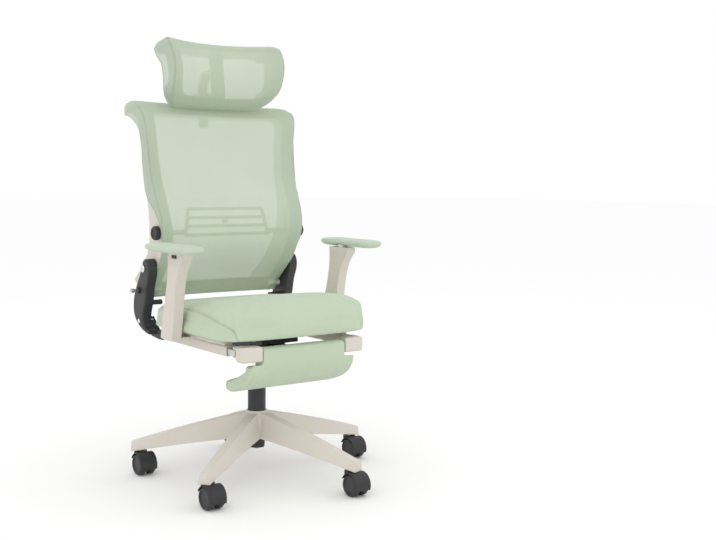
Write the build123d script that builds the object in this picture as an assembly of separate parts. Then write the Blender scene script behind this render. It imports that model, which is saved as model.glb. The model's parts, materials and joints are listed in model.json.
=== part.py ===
from build123d import *
import math
import os

# Reclining office chair with a pull-out footrest and a back that folds forward onto the seat.
# Origin: on the floor, on the seat's swivel axis. +Z is up and the sitter faces -Y, so the
# sitter's right is -X. "fore" below is the distance towards the sitter's front (-Y).

# ---- five-arm base and casters ----
ARM_COUNT = 5
BASE_RADIUS = 350.0
STEM_CIRCLE_RADIUS = 326.0
ARM_ROOT_WIDTH = 48.0
ARM_TIP_WIDTH = 34.0
ARM_RIDGE_SHARE = 0.62
ARM_TIP_DEPTH = 26.0
ARM_WALL = 4.0
BASE_RISE = 46.0
HUB_DEPTH = 73.0
HUB_RADIUS = 37.0
RIB_COUNT = 4
RIB_THICKNESS = 3.0
WHEEL_RADIUS = 29.5
WHEEL_WIDTH = 18.5
WHEEL_GAP = 12.0
AXLE_RADIUS = 4.0
CASTER_TRAIL = 22.0
FENDER_WALL = 1.8
FENDER_GAP = 1.2
NECK_RADIUS = 18.0
NECK_STAND = 0.8
STEM_RADIUS = 5.5
SPIGOT_RADIUS = 3.4
SPIGOT_LENGTH = 22.0
SHOULDER_DEPTH = 6.5
SWIVEL_GAP = 0.6

# ---- gas lift ----
COLUMN_RADIUS = 25.0
COLUMN_WALL = 2.5
COLUMN_STUB = 32.0
COLUMN_SHOWN = 96.0
CYLINDER_RADIUS = 14.0
CYLINDER_WALL = 2.5
CYLINDER_SHOWN = 62.0
CYLINDER_IN_COLUMN = 128.0
ROD_RADIUS = 5.0
PISTON_REACH = 70.0
BUSH_LENGTH = 62.0
COLUMN_FLOOR = 4.0
RUNNING_FIT = 0.05

# ---- seat and mechanism ----
COLLAR_RADIUS = 17.5
COLLAR_HEIGHT = 16.0
HOUSING_HALF_WIDTH = 58.0
HOUSING_DEPTH = 44.0
HOUSING_REAR = 82.0
HOUSING_FRONT = 118.0
PLATE_THICKNESS = 8.0
PLATE_MARGIN = 36.0
SHELL_THICKNESS = 7.0
SHELL_INSET = 22.0
SHELL_FRONT = 164.0
SHELL_CORNER = 16.0
SHELL_RIB = 3.0
SEAT_WIDTH = 484.0
SEAT_REAR = 197.0
SEAT_FRONT = 258.0
SEAT_CROWN = 100.0
SEAT_CORNER = 62.0
SEAT_FRONT_BOW = 34.0
TILT_FORE = -40.0
TILT_DROP = 27.0
TILT_AXLE_RADIUS = 6.0
FORK_THICKNESS = 12.0
EYE_WALL = 5.2
YOKE_THICKNESS = 13.0
LEVER_LENGTH = 96.0
LEVER_FORE = -4.0
LEVER_DROP = 14.0
LEVER_SHAFT_RADIUS = 4.0
LEVER_SHAFT_DEPTH = 10.0
LEVER_INNER = 104.0
LEVER_WIDTH = 44.0
KNOB_FORE = 100.0
TENSION_KNOB_RADIUS = 30.0
TENSION_KNOB_HEIGHT = 32.0
BOLT_RADIUS = 4.0
BOLT_HEAD_RADIUS = 7.0
BOLT_HEAD_HEIGHT = 5.0

# ---- footrest ----
CHANNEL_CENTRE = 183.0
CHANNEL_WIDTH = 30.0
CHANNEL_HEIGHT = 26.0
CHANNEL_WALL = 4.0
CHANNEL_REAR = 120.0
CHANNEL_FRONT = 168.0
RAIL_GAP = 0.4
RAIL_REAR = 112.0
BRACKET_REAR = 190.0
BRACKET_FRONT = 242.0
BRACKET_INNER = 131.0
BRACKET_HEIGHT = 40.0
FOOT_HINGE_FORE = 216.0
HINGE_BAR_RADIUS = 6.0
FOOT_PAD_WIDTH = 324.0
FOOT_PAD_DROP = 112.0
FOOT_PAD_TAIL = 46.0
FOOT_PAD_THICKNESS = 26.0
PAD_GAP = 1.5
FOOT_SWEEP = 36.5

# ---- armrests ----
POST_GAP = 5.0
SLEEVE_THICKNESS = 28.0
SLEEVE_LEAN = 12.0
SLEEVE_WIDTH = 54.0
SLEEVE_FLARE = 88.0
SLEEVE_LENGTH = 190.0
SLEEVE_FORE = -1.5
BRACKET_RISE = 40.0
LEG_INNER = 98.0
POST_WIDTH = 34.0
POST_THICKNESS = 14.0
SLEEVE_FIT = 0.5
ARMPAD_LENGTH = 245.0
ARMPAD_WIDTH = 78.0
ARMPAD_THICKNESS = 22.0
ARMPAD_OFFSET = 23.0
ARMPAD_FORE = 53.0
ARMPAD_GAP = 0.6
PIVOT_BOSS_RADIUS = 14.0
BUTTON_WIDTH = 24.0
BUTTON_HEIGHT = 8.0
BUTTON_TRAVEL = 3.0
BUTTON_DEPTH = 10.5
BUTTON_PROUD = 2.5
BUTTON_FORE = 37.0
BUTTON_DROP = 14.0
BUTTON_GAP = 0.5
SLEEVE_RISE = 219.0

# ---- back, its arms and the headrest ----
PIVOT_FORE = -195.0
PIVOT_RISE = 160.0
BACK_LEAN = 3.0
ARM_INNER = 221.0
BACK_ARM_THICKNESS = 27.0
ARM_BOLT_FORE = -221.0
ARM_BOLT_RISE = 10.0
ARM_BOLT_GRIP = 12.0
FOLD_GAP = 2.0
PIVOT_PIN_RADIUS = 6.0
PIVOT_HEAD_RADIUS = 11.0
LOCK_DROP = 62.0
LOCK_BACK = 37.5
LOCK_PIN_RADIUS = 4.0
LOCK_TRAVEL = 10.0
LOCK_FIT = 0.5
BACK_HEIGHT = 472.0
BACK_BOTTOM = 84.0
BACK_BOW = 850.0
BORDER = 34.0
WINDOW_CORNER = 16.0
MESH_THICKNESS = 2.5
KNOB_RISE = 98.0
KNOB_FORWARD = 54.0
LUMBAR_KNOB_RADIUS = 19.5
LUMBAR_KNOB_WIDTH = 14.0
LUMBAR_KNOB_STAND = 2.2
LUMBAR_LOW = 85.0
LUMBAR_HIGH = 168.0
LUMBAR_BARS = 4
LUMBAR_LOW_WIDTH = 284.0
LUMBAR_HIGH_WIDTH = 250.0
LUMBAR_ARM = 14.0
LUMBAR_BAR = 9.0
LUMBAR_THICKNESS = 6.0
LUMBAR_TRAVEL = 30.0
LUMBAR_SLOPE = 8.0
SPINDLE_RADIUS = 5.0
SPINDLE_LENGTH = 20.0
PEG_RADIUS = 4.0
PEG_LENGTH = 10.0
HEAD_HEIGHT = 192.0
HEAD_LOW = 110.0
HEAD_LOW_CORNER = 62.0
HEAD_HIGH_CORNER = 30.0
HEAD_HALF_WIDTH = 183.0
HEAD_BOW = 420.0
HEAD_BORDER = 30.0
HEAD_LEAN = 6.0
HEAD_HINGE_RISE = 561.7
HEAD_HINGE_FORWARD = -14.0
HEAD_PIN_RADIUS = 4.0
HEAD_BAR_WIDTH = 42.0
STEM_FORWARD = -88.0
STEM_WIDTH = 26.0
STEM_THICKNESS = 12.0
STEM_FOOT = 405.0
STEM_FIT = 0.4
BLOCK_WIDTH = 48.0
BLOCK_HEIGHT = 34.0

# ---- levels and places that follow ----
wheel_axle_z = WHEEL_RADIUS
neck_top_z = 2 * WHEEL_RADIUS + FENDER_GAP + FENDER_WALL + NECK_STAND
tip_low_z = neck_top_z + SWIVEL_GAP
tip_high_z = tip_low_z + ARM_TIP_DEPTH
hub_low_z = tip_low_z + BASE_RISE
hub_high_z = hub_low_z + HUB_DEPTH
column_low_z = hub_low_z - COLUMN_STUB
column_high_z = hub_high_z + COLUMN_SHOWN
collar_low_z = column_high_z + CYLINDER_SHOWN
housing_low_z = collar_low_z + COLLAR_HEIGHT
plate_low_z = housing_low_z + HOUSING_DEPTH
shell_low_z = plate_low_z + PLATE_THICKNESS
seat_z = shell_low_z + SHELL_THICKNESS
tilt_z = seat_z - TILT_DROP
pivot_z = seat_z + PIVOT_RISE
channel_low_z = plate_low_z - CHANNEL_HEIGHT
rail_z = plate_low_z - CHANNEL_HEIGHT / 2
sleeve_x = SEAT_WIDTH / 2 + POST_GAP + SLEEVE_THICKNESS / 2
sleeve_low_z = plate_low_z + BRACKET_RISE + PLATE_THICKNESS
armpad_x = sleeve_x + ARMPAD_OFFSET
lobe_half_width = ARM_INNER - FOLD_GAP
cylinder_low_z = column_high_z - CYLINDER_IN_COLUMN
sleeve_high_z = seat_z + SLEEVE_RISE
button_low_z = sleeve_high_z - BUTTON_DROP
SIDES = {"right": -1, "left": 1}
lean = math.radians(BACK_LEAN)
back_plane = Plane(origin=(0, -PIVOT_FORE, pivot_z), x_dir=(1, 0, 0), z_dir=(0, -math.cos(lean), math.sin(lean)))
back_place = back_plane.location
head_place = back_place * Pos(0, HEAD_HINGE_RISE, HEAD_HINGE_FORWARD) * Rot(-HEAD_LEAN, 0, 0)


# ---- small helpers ----
def rounded(points, radius=0.0):
    """A closed outline through the points, with its corners rounded."""
    face = make_face(Polyline(*points, close=True))
    if radius:
        face = fillet(face.vertices(), radius)
    return face


def side_slab(face, x_low, x_high):
    """An outline drawn as (fore, up), made solid between two values of X."""
    plane = Plane(origin=(x_low, 0, 0), x_dir=(0, -1, 0), z_dir=(-1, 0, 0))
    return extrude(plane * face, amount=x_high - x_low, dir=(1, 0, 0))


def plan_slab(face, z_low, z_high):
    """An outline drawn as (X, Y), made solid between two heights."""
    return extrude(Pos(0, 0, z_low) * face, amount=z_high - z_low, dir=(0, 0, 1))


def rod_z(radius, z_low, z_high, x=0.0, fore=0.0):
    """An upright rod."""
    return Pos(x, -fore, (z_low + z_high) / 2) * Cylinder(radius, z_high - z_low)


def rod_x(radius, x_low, x_high, fore, z):
    """A rod across the chair."""
    return Pos((x_low + x_high) / 2, -fore, z) * Rot(0, 90, 0) * Cylinder(radius, x_high - x_low)


def block(x_low, x_high, fore_low, fore_high, z_low, z_high):
    """A plain box between six limits."""
    centre = Pos((x_low + x_high) / 2, -(fore_low + fore_high) / 2, (z_low + z_high) / 2)
    return centre * Box(x_high - x_low, fore_high - fore_low, z_high - z_low)


def turned(profile):
    """A solid of revolution about Z, from an outline drawn as (radius, height)."""
    return revolve(Plane.XZ * rounded(profile), axis=Axis.Z)


def hex_bolt(length):
    """A hexagon-headed bolt, shank along -Z and its head's seat at the origin."""
    head = extrude(RegularPolygon(BOLT_HEAD_RADIUS, 6), amount=BOLT_HEAD_HEIGHT)
    shank = Pos(0, 0, -length / 2) * Cylinder(BOLT_RADIUS, length)
    return head + shank


def mirrored(solid, side):
    """The sitter's left-hand piece as drawn, or its mirror image for the right."""
    if side > 0:
        return solid
    return mirror(solid, about=Plane.YZ)


# ---- five-arm base ----
def arm_section(radius, width, z_low, z_high, wall=0.0):
    """One upright section across a base arm, narrower at its ridge."""
    half = width / 2 - wall
    ridge = half * ARM_RIDGE_SHARE
    low = z_low - (1.0 if wall else 0.0)
    outline = [(-half, low), (half, low), (ridge, z_high - wall), (-ridge, z_high - wall)]
    return Plane(origin=(radius, 0, 0), x_dir=(0, 1, 0), z_dir=(1, 0, 0)) * rounded(outline)


def arm_loft(wall=0.0, end=BASE_RADIUS):
    """A base arm from the hub to its tip; a wall gives the hollow under it."""
    middle = 0.45 * end
    root = arm_section(8.0, ARM_ROOT_WIDTH, hub_low_z, hub_high_z - 1.0, wall)
    sag_low = hub_low_z - 0.36 * BASE_RISE
    sag_high = hub_high_z - 0.40 * (hub_high_z - tip_high_z)
    mid = arm_section(middle, (ARM_ROOT_WIDTH + ARM_TIP_WIDTH) / 2, sag_low, sag_high, wall)
    tip = arm_section(end, ARM_TIP_WIDTH, tip_low_z, tip_high_z, wall)
    return loft([root, mid, tip])


def star_base():
    """Moulded base: five hollow ribbed arms, stem sockets and a bored hub."""
    outer = arm_loft()
    hollow = arm_loft(ARM_WALL, BASE_RADIUS - ARM_WALL)
    arm = outer - hollow
    for index in range(RIB_COUNT):
        station = HUB_RADIUS + (index + 0.6) * (STEM_CIRCLE_RADIUS - HUB_RADIUS) / (RIB_COUNT + 0.6)
        rib = Pos(station, 0, hub_low_z) * Box(RIB_THICKNESS, ARM_ROOT_WIDTH, 2 * HUB_DEPTH)
        arm += rib & outer
    socket = rod_z(ARM_TIP_WIDTH / 2, tip_low_z, tip_high_z - 1.0, x=STEM_CIRCLE_RADIUS)
    arm += socket & outer
    base = turned([(0, hub_low_z), (HUB_RADIUS, hub_low_z), (HUB_RADIUS, hub_high_z - 22),
                   (COLUMN_RADIUS + 4, hub_high_z), (0, hub_high_z)])
    for index in range(ARM_COUNT):
        base += Rot(0, 0, index * 360 / ARM_COUNT) * arm
    base -= rod_z(COLUMN_RADIUS, 0, hub_high_z + 1)
    for index in range(ARM_COUNT):
        bore = rod_z(STEM_RADIUS, tip_low_z - 1, tip_high_z - ARM_WALL, x=STEM_CIRCLE_RADIUS)
        base -= Rot(0, 0, index * 360 / ARM_COUNT) * bore
    return base


def stem_places():
    """The five swivel axes, as (X, Y)."""
    places = []
    for index in range(ARM_COUNT):
        angle = math.radians(index * 360 / ARM_COUNT)
        places.append((STEM_CIRCLE_RADIUS * math.cos(angle), STEM_CIRCLE_RADIUS * math.sin(angle)))
    return places


# ---- casters ----
def caster_stem():
    """Steel stem: its shank is gripped in the base, its spigot runs in the hood."""
    shoulder_z = neck_top_z - SHOULDER_DEPTH
    shank = rod_z(STEM_RADIUS, shoulder_z, tip_high_z - ARM_WALL)
    return shank + rod_z(SPIGOT_RADIUS, shoulder_z - SPIGOT_LENGTH, shoulder_z)


def caster_hood():
    """Hood: swivel neck, a web that holds the axle, and a curved fender over the wheels."""
    inner = WHEEL_RADIUS + FENDER_GAP
    centre = (CASTER_TRAIL, wheel_axle_z)
    arc_out = CenterArc(centre, inner + FENDER_WALL, -20, 175)
    arc_in = CenterArc(centre, inner, -20, 175)
    fender = make_face([arc_out, arc_in, Line(arc_out @ 0, arc_in @ 0), Line(arc_out @ 1, arc_in @ 1)])
    half = WHEEL_WIDTH + WHEEL_GAP / 2
    web_half = WHEEL_GAP / 2 - 1.0
    neck = rod_z(NECK_RADIUS, wheel_axle_z - 8.0, neck_top_z)
    neck -= side_slab(Pos(*centre) * Circle(inner), -half - 10, half + 10)
    boss = 2.2 * AXLE_RADIUS
    web = rounded([(-NECK_RADIUS + 3, neck_top_z - 6), (-NECK_RADIUS + 3, wheel_axle_z),
                   (CASTER_TRAIL - boss, wheel_axle_z - boss), (CASTER_TRAIL + boss, wheel_axle_z - boss),
                   (CASTER_TRAIL + 0.7 * inner, wheel_axle_z + boss),
                   (CASTER_TRAIL + 0.5 * inner, wheel_axle_z + 0.84 * inner)])
    hood = side_slab(fender, -half, half) + neck + side_slab(web, -web_half, web_half)
    hood -= rod_x(AXLE_RADIUS + RUNNING_FIT, -half, half, CASTER_TRAIL, wheel_axle_z)
    shoulder_z = neck_top_z - SHOULDER_DEPTH
    hood -= rod_z(STEM_RADIUS + RUNNING_FIT, shoulder_z - 0.3, neck_top_z + 1)
    hood -= rod_z(SPIGOT_RADIUS + RUNNING_FIT, shoulder_z - SPIGOT_LENGTH - 0.5, neck_top_z)
    return hood


def caster_wheels():
    """Two wheels pressed on one axle: soft tread, dished outer face."""
    r = WHEEL_RADIUS
    w = WHEEL_WIDTH
    section = [(0, 0), (r - 4, 0), (r, 3), (r, w - 5), (r - 4, w), (r - 7, w), (r - 9, w - 3), (0, w - 3)]
    wheel = Pos(WHEEL_GAP / 2, 0, 0) * Rot(0, 90, 0) * turned(section)
    axle = Rot(0, 90, 0) * Cylinder(AXLE_RADIUS, WHEEL_GAP + WHEEL_WIDTH)
    pair = wheel + mirror(wheel, about=Plane.YZ) + axle
    return Pos(0, -CASTER_TRAIL, wheel_axle_z) * pair


# ---- gas lift ----
def lift_column():
    """Outer tube of the lift, seated in the hub, with a bored floor for the rod."""
    inner = COLUMN_RADIUS - COLUMN_WALL
    floor_z = column_low_z + COLUMN_FLOOR
    stub = COLUMN_RADIUS - 3.0
    return turned([(ROD_RADIUS + 1, column_low_z), (stub, column_low_z), (COLUMN_RADIUS, hub_low_z),
                   (COLUMN_RADIUS, column_high_z), (inner, column_high_z), (inner, hub_low_z),
                   (stub - COLUMN_WALL, floor_z), (ROD_RADIUS + 1, floor_z)])


def guide_bush():
    """Flanged nylon bush that guides the cylinder at the mouth of the column."""
    inner = CYLINDER_RADIUS + RUNNING_FIT
    outer = COLUMN_RADIUS - COLUMN_WALL
    top = column_high_z + 2.0
    return turned([(inner, column_high_z - BUSH_LENGTH), (outer, column_high_z - BUSH_LENGTH),
                   (outer, column_high_z), (COLUMN_RADIUS - 1, column_high_z), (COLUMN_RADIUS - 1, top),
                   (inner, top)])


def thrust_bearing():
    """Ball cage between two washers, on the floor of the column."""
    low = column_low_z + COLUMN_FLOOR
    inner = ROD_RADIUS + RUNNING_FIT
    outer = 2.4 * ROD_RADIUS
    return turned([(inner, low), (outer, low), (outer, low + 2), (outer - 1, low + 2.5), (outer - 1, low + 5.5),
                   (outer, low + 6), (outer, low + 8), (inner, low + 8)])


def piston_rod():
    """Rod that stands on the thrust bearing and carries the piston inside the cylinder."""
    bearing_top = column_low_z + COLUMN_FLOOR + 8.0
    top = cylinder_low_z + PISTON_REACH
    bore = CYLINDER_RADIUS - CYLINDER_WALL - 0.3
    foot = column_low_z - 6.0
    return turned([(0, foot), (ROD_RADIUS, foot), (ROD_RADIUS, bearing_top), (ROD_RADIUS + 2.5, bearing_top),
                   (ROD_RADIUS + 2.5, bearing_top + 3), (ROD_RADIUS, bearing_top + 3),
                   (ROD_RADIUS, top), (bore, top), (bore, top + 10), (0, top + 10)])


def retaining_clip():
    """Spring clip under the column that keeps the rod from lifting out."""
    high = column_low_z - 0.4
    clip = rod_z(2.0 * ROD_RADIUS, high - 1.6, high) - rod_z(ROD_RADIUS, high - 3, high + 1)
    return clip - block(-ROD_RADIUS * 0.8, ROD_RADIUS * 0.8, 0, 3 * ROD_RADIUS, high - 3, high + 1)


def gas_cylinder():
    """Chromed pressure tube with its rod gland, and the taper seated in the mechanism."""
    bore = CYLINDER_RADIUS - CYLINDER_WALL
    top = plate_low_z - 6.0
    neck = collar_low_z + 4.0
    return turned([(ROD_RADIUS + RUNNING_FIT, cylinder_low_z), (CYLINDER_RADIUS, cylinder_low_z),
                   (CYLINDER_RADIUS, neck), (CYLINDER_RADIUS - 1, top), (0, top), (0, top - 12),
                   (bore, top - 12), (bore, cylinder_low_z + 14), (ROD_RADIUS + RUNNING_FIT, cylinder_low_z + 14)])


# ---- mechanism under the seat ----
def seat_bolt_places():
    """Bolts of one side, as (X, fore): two through the mechanism's plate, two through an armrest leg."""
    x = HOUSING_HALF_WIDTH + PLATE_MARGIN / 2
    return [(x, -HOUSING_REAR + 6), (x, HOUSING_FRONT - 12), (LEG_INNER + 23, -14), (LEG_INNER + 51, 12)]


def mechanism_housing():
    """Pressed housing with its seat plate, the taper socket and the tilt axle's bore."""
    knob_top = plate_low_z - 20.0
    floor_z = housing_low_z
    profile = rounded([(-HOUSING_REAR, plate_low_z), (-HOUSING_REAR, tilt_z - 8), (-44, floor_z),
                       (44, floor_z), (KNOB_FORE - TENSION_KNOB_RADIUS - 10, knob_top),
                       (HOUSING_FRONT, knob_top + 5), (HOUSING_FRONT, plate_low_z)])
    body = side_slab(profile, -HOUSING_HALF_WIDTH, HOUSING_HALF_WIDTH)
    body = fillet(body.edges().filter_by(Axis.X).group_by(Axis.Z)[0], 6)
    plate = Rectangle(2 * (HOUSING_HALF_WIDTH + PLATE_MARGIN), HOUSING_REAR + HOUSING_FRONT + 20)
    plate = fillet(plate.vertices(), 14)
    middle = -(HOUSING_FRONT - HOUSING_REAR) / 2
    body += plan_slab(Pos(0, middle) * plate, plate_low_z, shell_low_z)
    body += rod_z(COLLAR_RADIUS, collar_low_z, floor_z + 1)
    bore = turned([(0, collar_low_z - 1), (CYLINDER_RADIUS, collar_low_z - 1),
                   (CYLINDER_RADIUS, collar_low_z + 4), (CYLINDER_RADIUS - 1, plate_low_z - 6),
                   (0, plate_low_z - 6)])
    body -= bore
    body -= rod_x(TILT_AXLE_RADIUS, -200, 200, TILT_FORE, tilt_z)
    body -= rod_z(BOLT_RADIUS, plate_low_z - 22, plate_low_z - 4, fore=KNOB_FORE)
    body -= rod_x(LEVER_SHAFT_RADIUS + RUNNING_FIT, -200, -HOUSING_HALF_WIDTH + LEVER_SHAFT_DEPTH + 1,
                  LEVER_FORE, plate_low_z - LEVER_DROP)
    for x, fore in seat_bolt_places():
        for side in (-1, 1):
            body -= rod_z(BOLT_RADIUS, plate_low_z - 1, shell_low_z + 1, x=side * x, fore=fore)
    return body


def tilt_axle():
    """Steel axle on which the yoke and the whole back recline."""
    reach = HOUSING_HALF_WIDTH + FORK_THICKNESS + 5.0
    axle = rod_x(TILT_AXLE_RADIUS, -reach, reach, TILT_FORE, tilt_z)
    for x in (-reach, reach - 3):
        axle += rod_x(TILT_AXLE_RADIUS + 3, x, x + 3, TILT_FORE, tilt_z)
    return axle


def yoke():
    """Forked crosspiece: two eyes on the tilt axle, widening to the feet of the back arms."""
    t = YOKE_THICKNESS
    rear = PIVOT_FORE - 40.0
    mid_z = tilt_z - 1.0
    band = rounded([(TILT_FORE, mid_z + t / 2), (-150, mid_z + t / 2), (-188, mid_z + 14),
                    (rear + 8, seat_z + 20), (rear - 8, seat_z + 12), (-206, mid_z - 4),
                    (-160, mid_z - t / 2 - 2), (TILT_FORE, mid_z - t / 2)])
    eye = Pos(TILT_FORE, tilt_z) * Circle(TILT_AXLE_RADIUS + EYE_WALL)
    solid = side_slab(band + eye, -ARM_INNER, ARM_INNER)
    fork_inner = HOUSING_HALF_WIDTH + 1.0
    fork_outer = fork_inner + FORK_THICKNESS
    solid -= block(-fork_inner, fork_inner, -HOUSING_REAR - 26, 60, 0, 600)
    for side in (-1, 1):
        wing = block(fork_outer, 400, -138, 60, 0, 600)
        solid -= mirrored(wing, side)
        notch = block(fork_outer + 60, ARM_INNER - 18, -300, -186, 0, 600)
        solid -= mirrored(notch, side)
    solid -= block(-fork_outer - 60, fork_outer + 60, -300, -186, 0, 600)
    solid -= rod_x(TILT_AXLE_RADIUS + RUNNING_FIT, -400, 400, TILT_FORE, tilt_z)
    for side in (-1, 1):
        solid -= mirrored(arm_bolt_bore(), side)
    return solid


def height_lever():
    """Paddle lever: its shaft runs into the housing, its blade points rearward."""
    z = plate_low_z - LEVER_DROP
    fore = LEVER_FORE
    shaft = rod_x(LEVER_SHAFT_RADIUS, -LEVER_INNER - LEVER_WIDTH / 2, -HOUSING_HALF_WIDTH + LEVER_SHAFT_DEPTH,
                  fore, z)
    blade = rounded([(fore + 8, z + 3), (fore - LEVER_LENGTH, z + 7), (fore - LEVER_LENGTH - 8, z + 2),
                     (fore - LEVER_LENGTH, z - 9), (fore, z - 6), (fore + 8, z - 3)], 1.5)
    return shaft + side_slab(blade, -LEVER_INNER - LEVER_WIDTH, -LEVER_INNER)


def tension_knob():
    """Recline tension knob under the front of the mechanism, with a tapered grip."""
    top = plate_low_z - 20.0
    low = top - TENSION_KNOB_HEIGHT
    r = TENSION_KNOB_RADIUS
    knob = turned([(0, low), (r - 12, low), (r - 5, low + 6), (r, top - 10), (r, top - 2), (0, top - 2)])
    for index in range(8):
        notch = Pos(r + 3, 0, 0) * rod_z(6, low - 1, top - 9)
        knob -= Rot(0, 0, index * 45) * notch
    return Pos(0, -KNOB_FORE) * (knob + rod_z(BOLT_RADIUS - RUNNING_FIT, top - 3, top + 14))


def seat_bolts():
    """Hexagon bolts that hold the mechanism and the armrest legs to the seat shell."""
    bolts = []
    for side in (-1, 1):
        for x, fore in seat_bolt_places():
            bolts.append(Pos(side * x, -fore, plate_low_z) * Rot(180, 0, 0) * hex_bolt(PLATE_THICKNESS))
    return Compound(bolts)


# ---- seat ----
def seat_plan():
    """Plan outline of the seat: rounded corners, front edge bowed forward."""
    half = SEAT_WIDTH / 2
    rear = SEAT_REAR
    front = SEAT_FRONT
    side_front = -(front - SEAT_FRONT_BOW)
    lines = [Line((-half, rear), (half, rear)), Line((half, rear), (half, side_front)),
             ThreePointArc((half, side_front), (0, -front), (-half, side_front)),
             Line((-half, side_front), (-half, rear))]
    return fillet(make_face(lines).vertices(), SEAT_CORNER)


def seat_shell():
    """Moulded pan under the cushion: a rimmed plate with ribs and rail seats."""
    length = SHELL_FRONT + SEAT_REAR - SHELL_INSET
    plan = Pos(0, SEAT_REAR - SHELL_INSET - length / 2) * Rectangle(SEAT_WIDTH - 2 * SHELL_INSET, length)
    plan = fillet(plan.vertices().group_by(Axis.Y)[-1], SEAT_CORNER - SHELL_INSET)
    plan = fillet(plan.vertices().group_by(Axis.Y)[0], SHELL_CORNER)
    shell = plan_slab(plan, shell_low_z, seat_z)
    inner = offset(plan, -SHELL_RIB)
    shell -= plan_slab(inner, shell_low_z + SHELL_RIB, seat_z)
    ribs = Part()
    for index in range(-2, 3):
        ribs += block(index * 78 - SHELL_RIB / 2, index * 78 + SHELL_RIB / 2, -300, 300, shell_low_z, seat_z)
        ribs += block(-300, 300, index * 78 + 24, index * 78 + 24 + SHELL_RIB, shell_low_z, seat_z)
    return shell + (ribs & plan_slab(inner, shell_low_z, seat_z))


def seat_cushion():
    """Upholstered cushion with a crowned thigh roll and a waterfall front."""
    low = seat_z
    high = seat_z + SEAT_CROWN
    top = Spline([(-SEAT_REAR - 1, low + 62), (-120, low + 71), (-20, low + 81), (70, low + 95),
                  (138, high), (205, high - 10), (SEAT_FRONT - 8, low + 58)])
    nose = Spline([top @ 1, (SEAT_FRONT, low + 36), (SEAT_FRONT - 34, low)], tangents=[top % 1, (-1, 0)])
    under = Line(nose @ 1, (-SEAT_REAR - 1, low))
    rear = Line(under @ 1, top @ 0)
    solid = side_slab(make_face([top, nose, under, rear]), -SEAT_WIDTH, SEAT_WIDTH)
    solid &= plan_slab(seat_plan(), low - 1, high + 1)
    return solid


# ---- footrest ----
def rail_channel(side):
    """Outer channel of the footrest slide, open at its front and hung from the seat."""
    x_low = CHANNEL_CENTRE - CHANNEL_WIDTH / 2
    x_high = CHANNEL_CENTRE + CHANNEL_WIDTH / 2
    wall = CHANNEL_WALL
    body = block(x_low, x_high, -CHANNEL_REAR, CHANNEL_FRONT, channel_low_z, plate_low_z)
    body = fillet(body.edges().filter_by(Axis.Y), 3)
    body -= block(x_low + wall, x_high - wall, -CHANNEL_REAR + wall, CHANNEL_FRONT + 1,
                  channel_low_z + wall, plate_low_z - wall)
    for fore in (-CHANNEL_REAR + 6, 60, CHANNEL_FRONT - 42):
        body += block(x_low + 3, x_high - 3, fore, fore + 30, plate_low_z - 1, shell_low_z)
    return mirrored(body, side)


def footrest_rail(side):
    """Inner slide of the footrest."""
    wall = CHANNEL_WALL + RAIL_GAP
    body = block(CHANNEL_CENTRE - CHANNEL_WIDTH / 2 + wall, CHANNEL_CENTRE + CHANNEL_WIDTH / 2 - wall,
                 -RAIL_REAR, BRACKET_REAR + 16, channel_low_z + wall, plate_low_z - wall)
    body = fillet(body.edges().filter_by(Axis.Y), 2)
    return mirrored(body, side)


def footrest_bracket(side):
    """Corner bracket at the end of a rail, with the ear that holds the hinge bar."""
    outer = CHANNEL_CENTRE + CHANNEL_WIDTH / 2 - 5.0
    low = rail_z - BRACKET_HEIGHT / 2 - 3.0
    high = low + BRACKET_HEIGHT
    corner = 14.0
    plan = rounded([(BRACKET_INNER, -BRACKET_REAR - 14), (outer - 26, -BRACKET_REAR), (outer, -BRACKET_REAR),
                    (outer, -BRACKET_FRONT), (BRACKET_INNER, -BRACKET_FRONT)])
    plan = fillet(plan.vertices().group_by(Axis.Y)[0].sort_by(Axis.X)[-1:], corner)
    body = plan_slab(plan, low, high)
    rear_low = block(0, 400, BRACKET_REAR - 20, BRACKET_REAR + 18, low - 1, low + 12)
    body -= Pos(0, 0, -2) * rear_low
    body = fillet(body.edges().filter_by(Axis.X).group_by(Axis.Y)[0], 7)
    wall = CHANNEL_WALL + RAIL_GAP
    body -= block(CHANNEL_CENTRE - CHANNEL_WIDTH / 2 + wall, CHANNEL_CENTRE + CHANNEL_WIDTH / 2 - wall,
                  BRACKET_REAR - 20, BRACKET_REAR + 16, channel_low_z + wall, plate_low_z - wall)
    body -= rod_x(HINGE_BAR_RADIUS, 0, outer - 12, FOOT_HINGE_FORE, rail_z)
    return mirrored(body, side)


def footrest_hinge_bar():
    """Steel bar between the corner brackets; the pad turns on it."""
    reach = CHANNEL_CENTRE + CHANNEL_WIDTH / 2 - 17.0
    return rod_x(HINGE_BAR_RADIUS, -reach, reach, FOOT_HINGE_FORE, rail_z)


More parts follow.
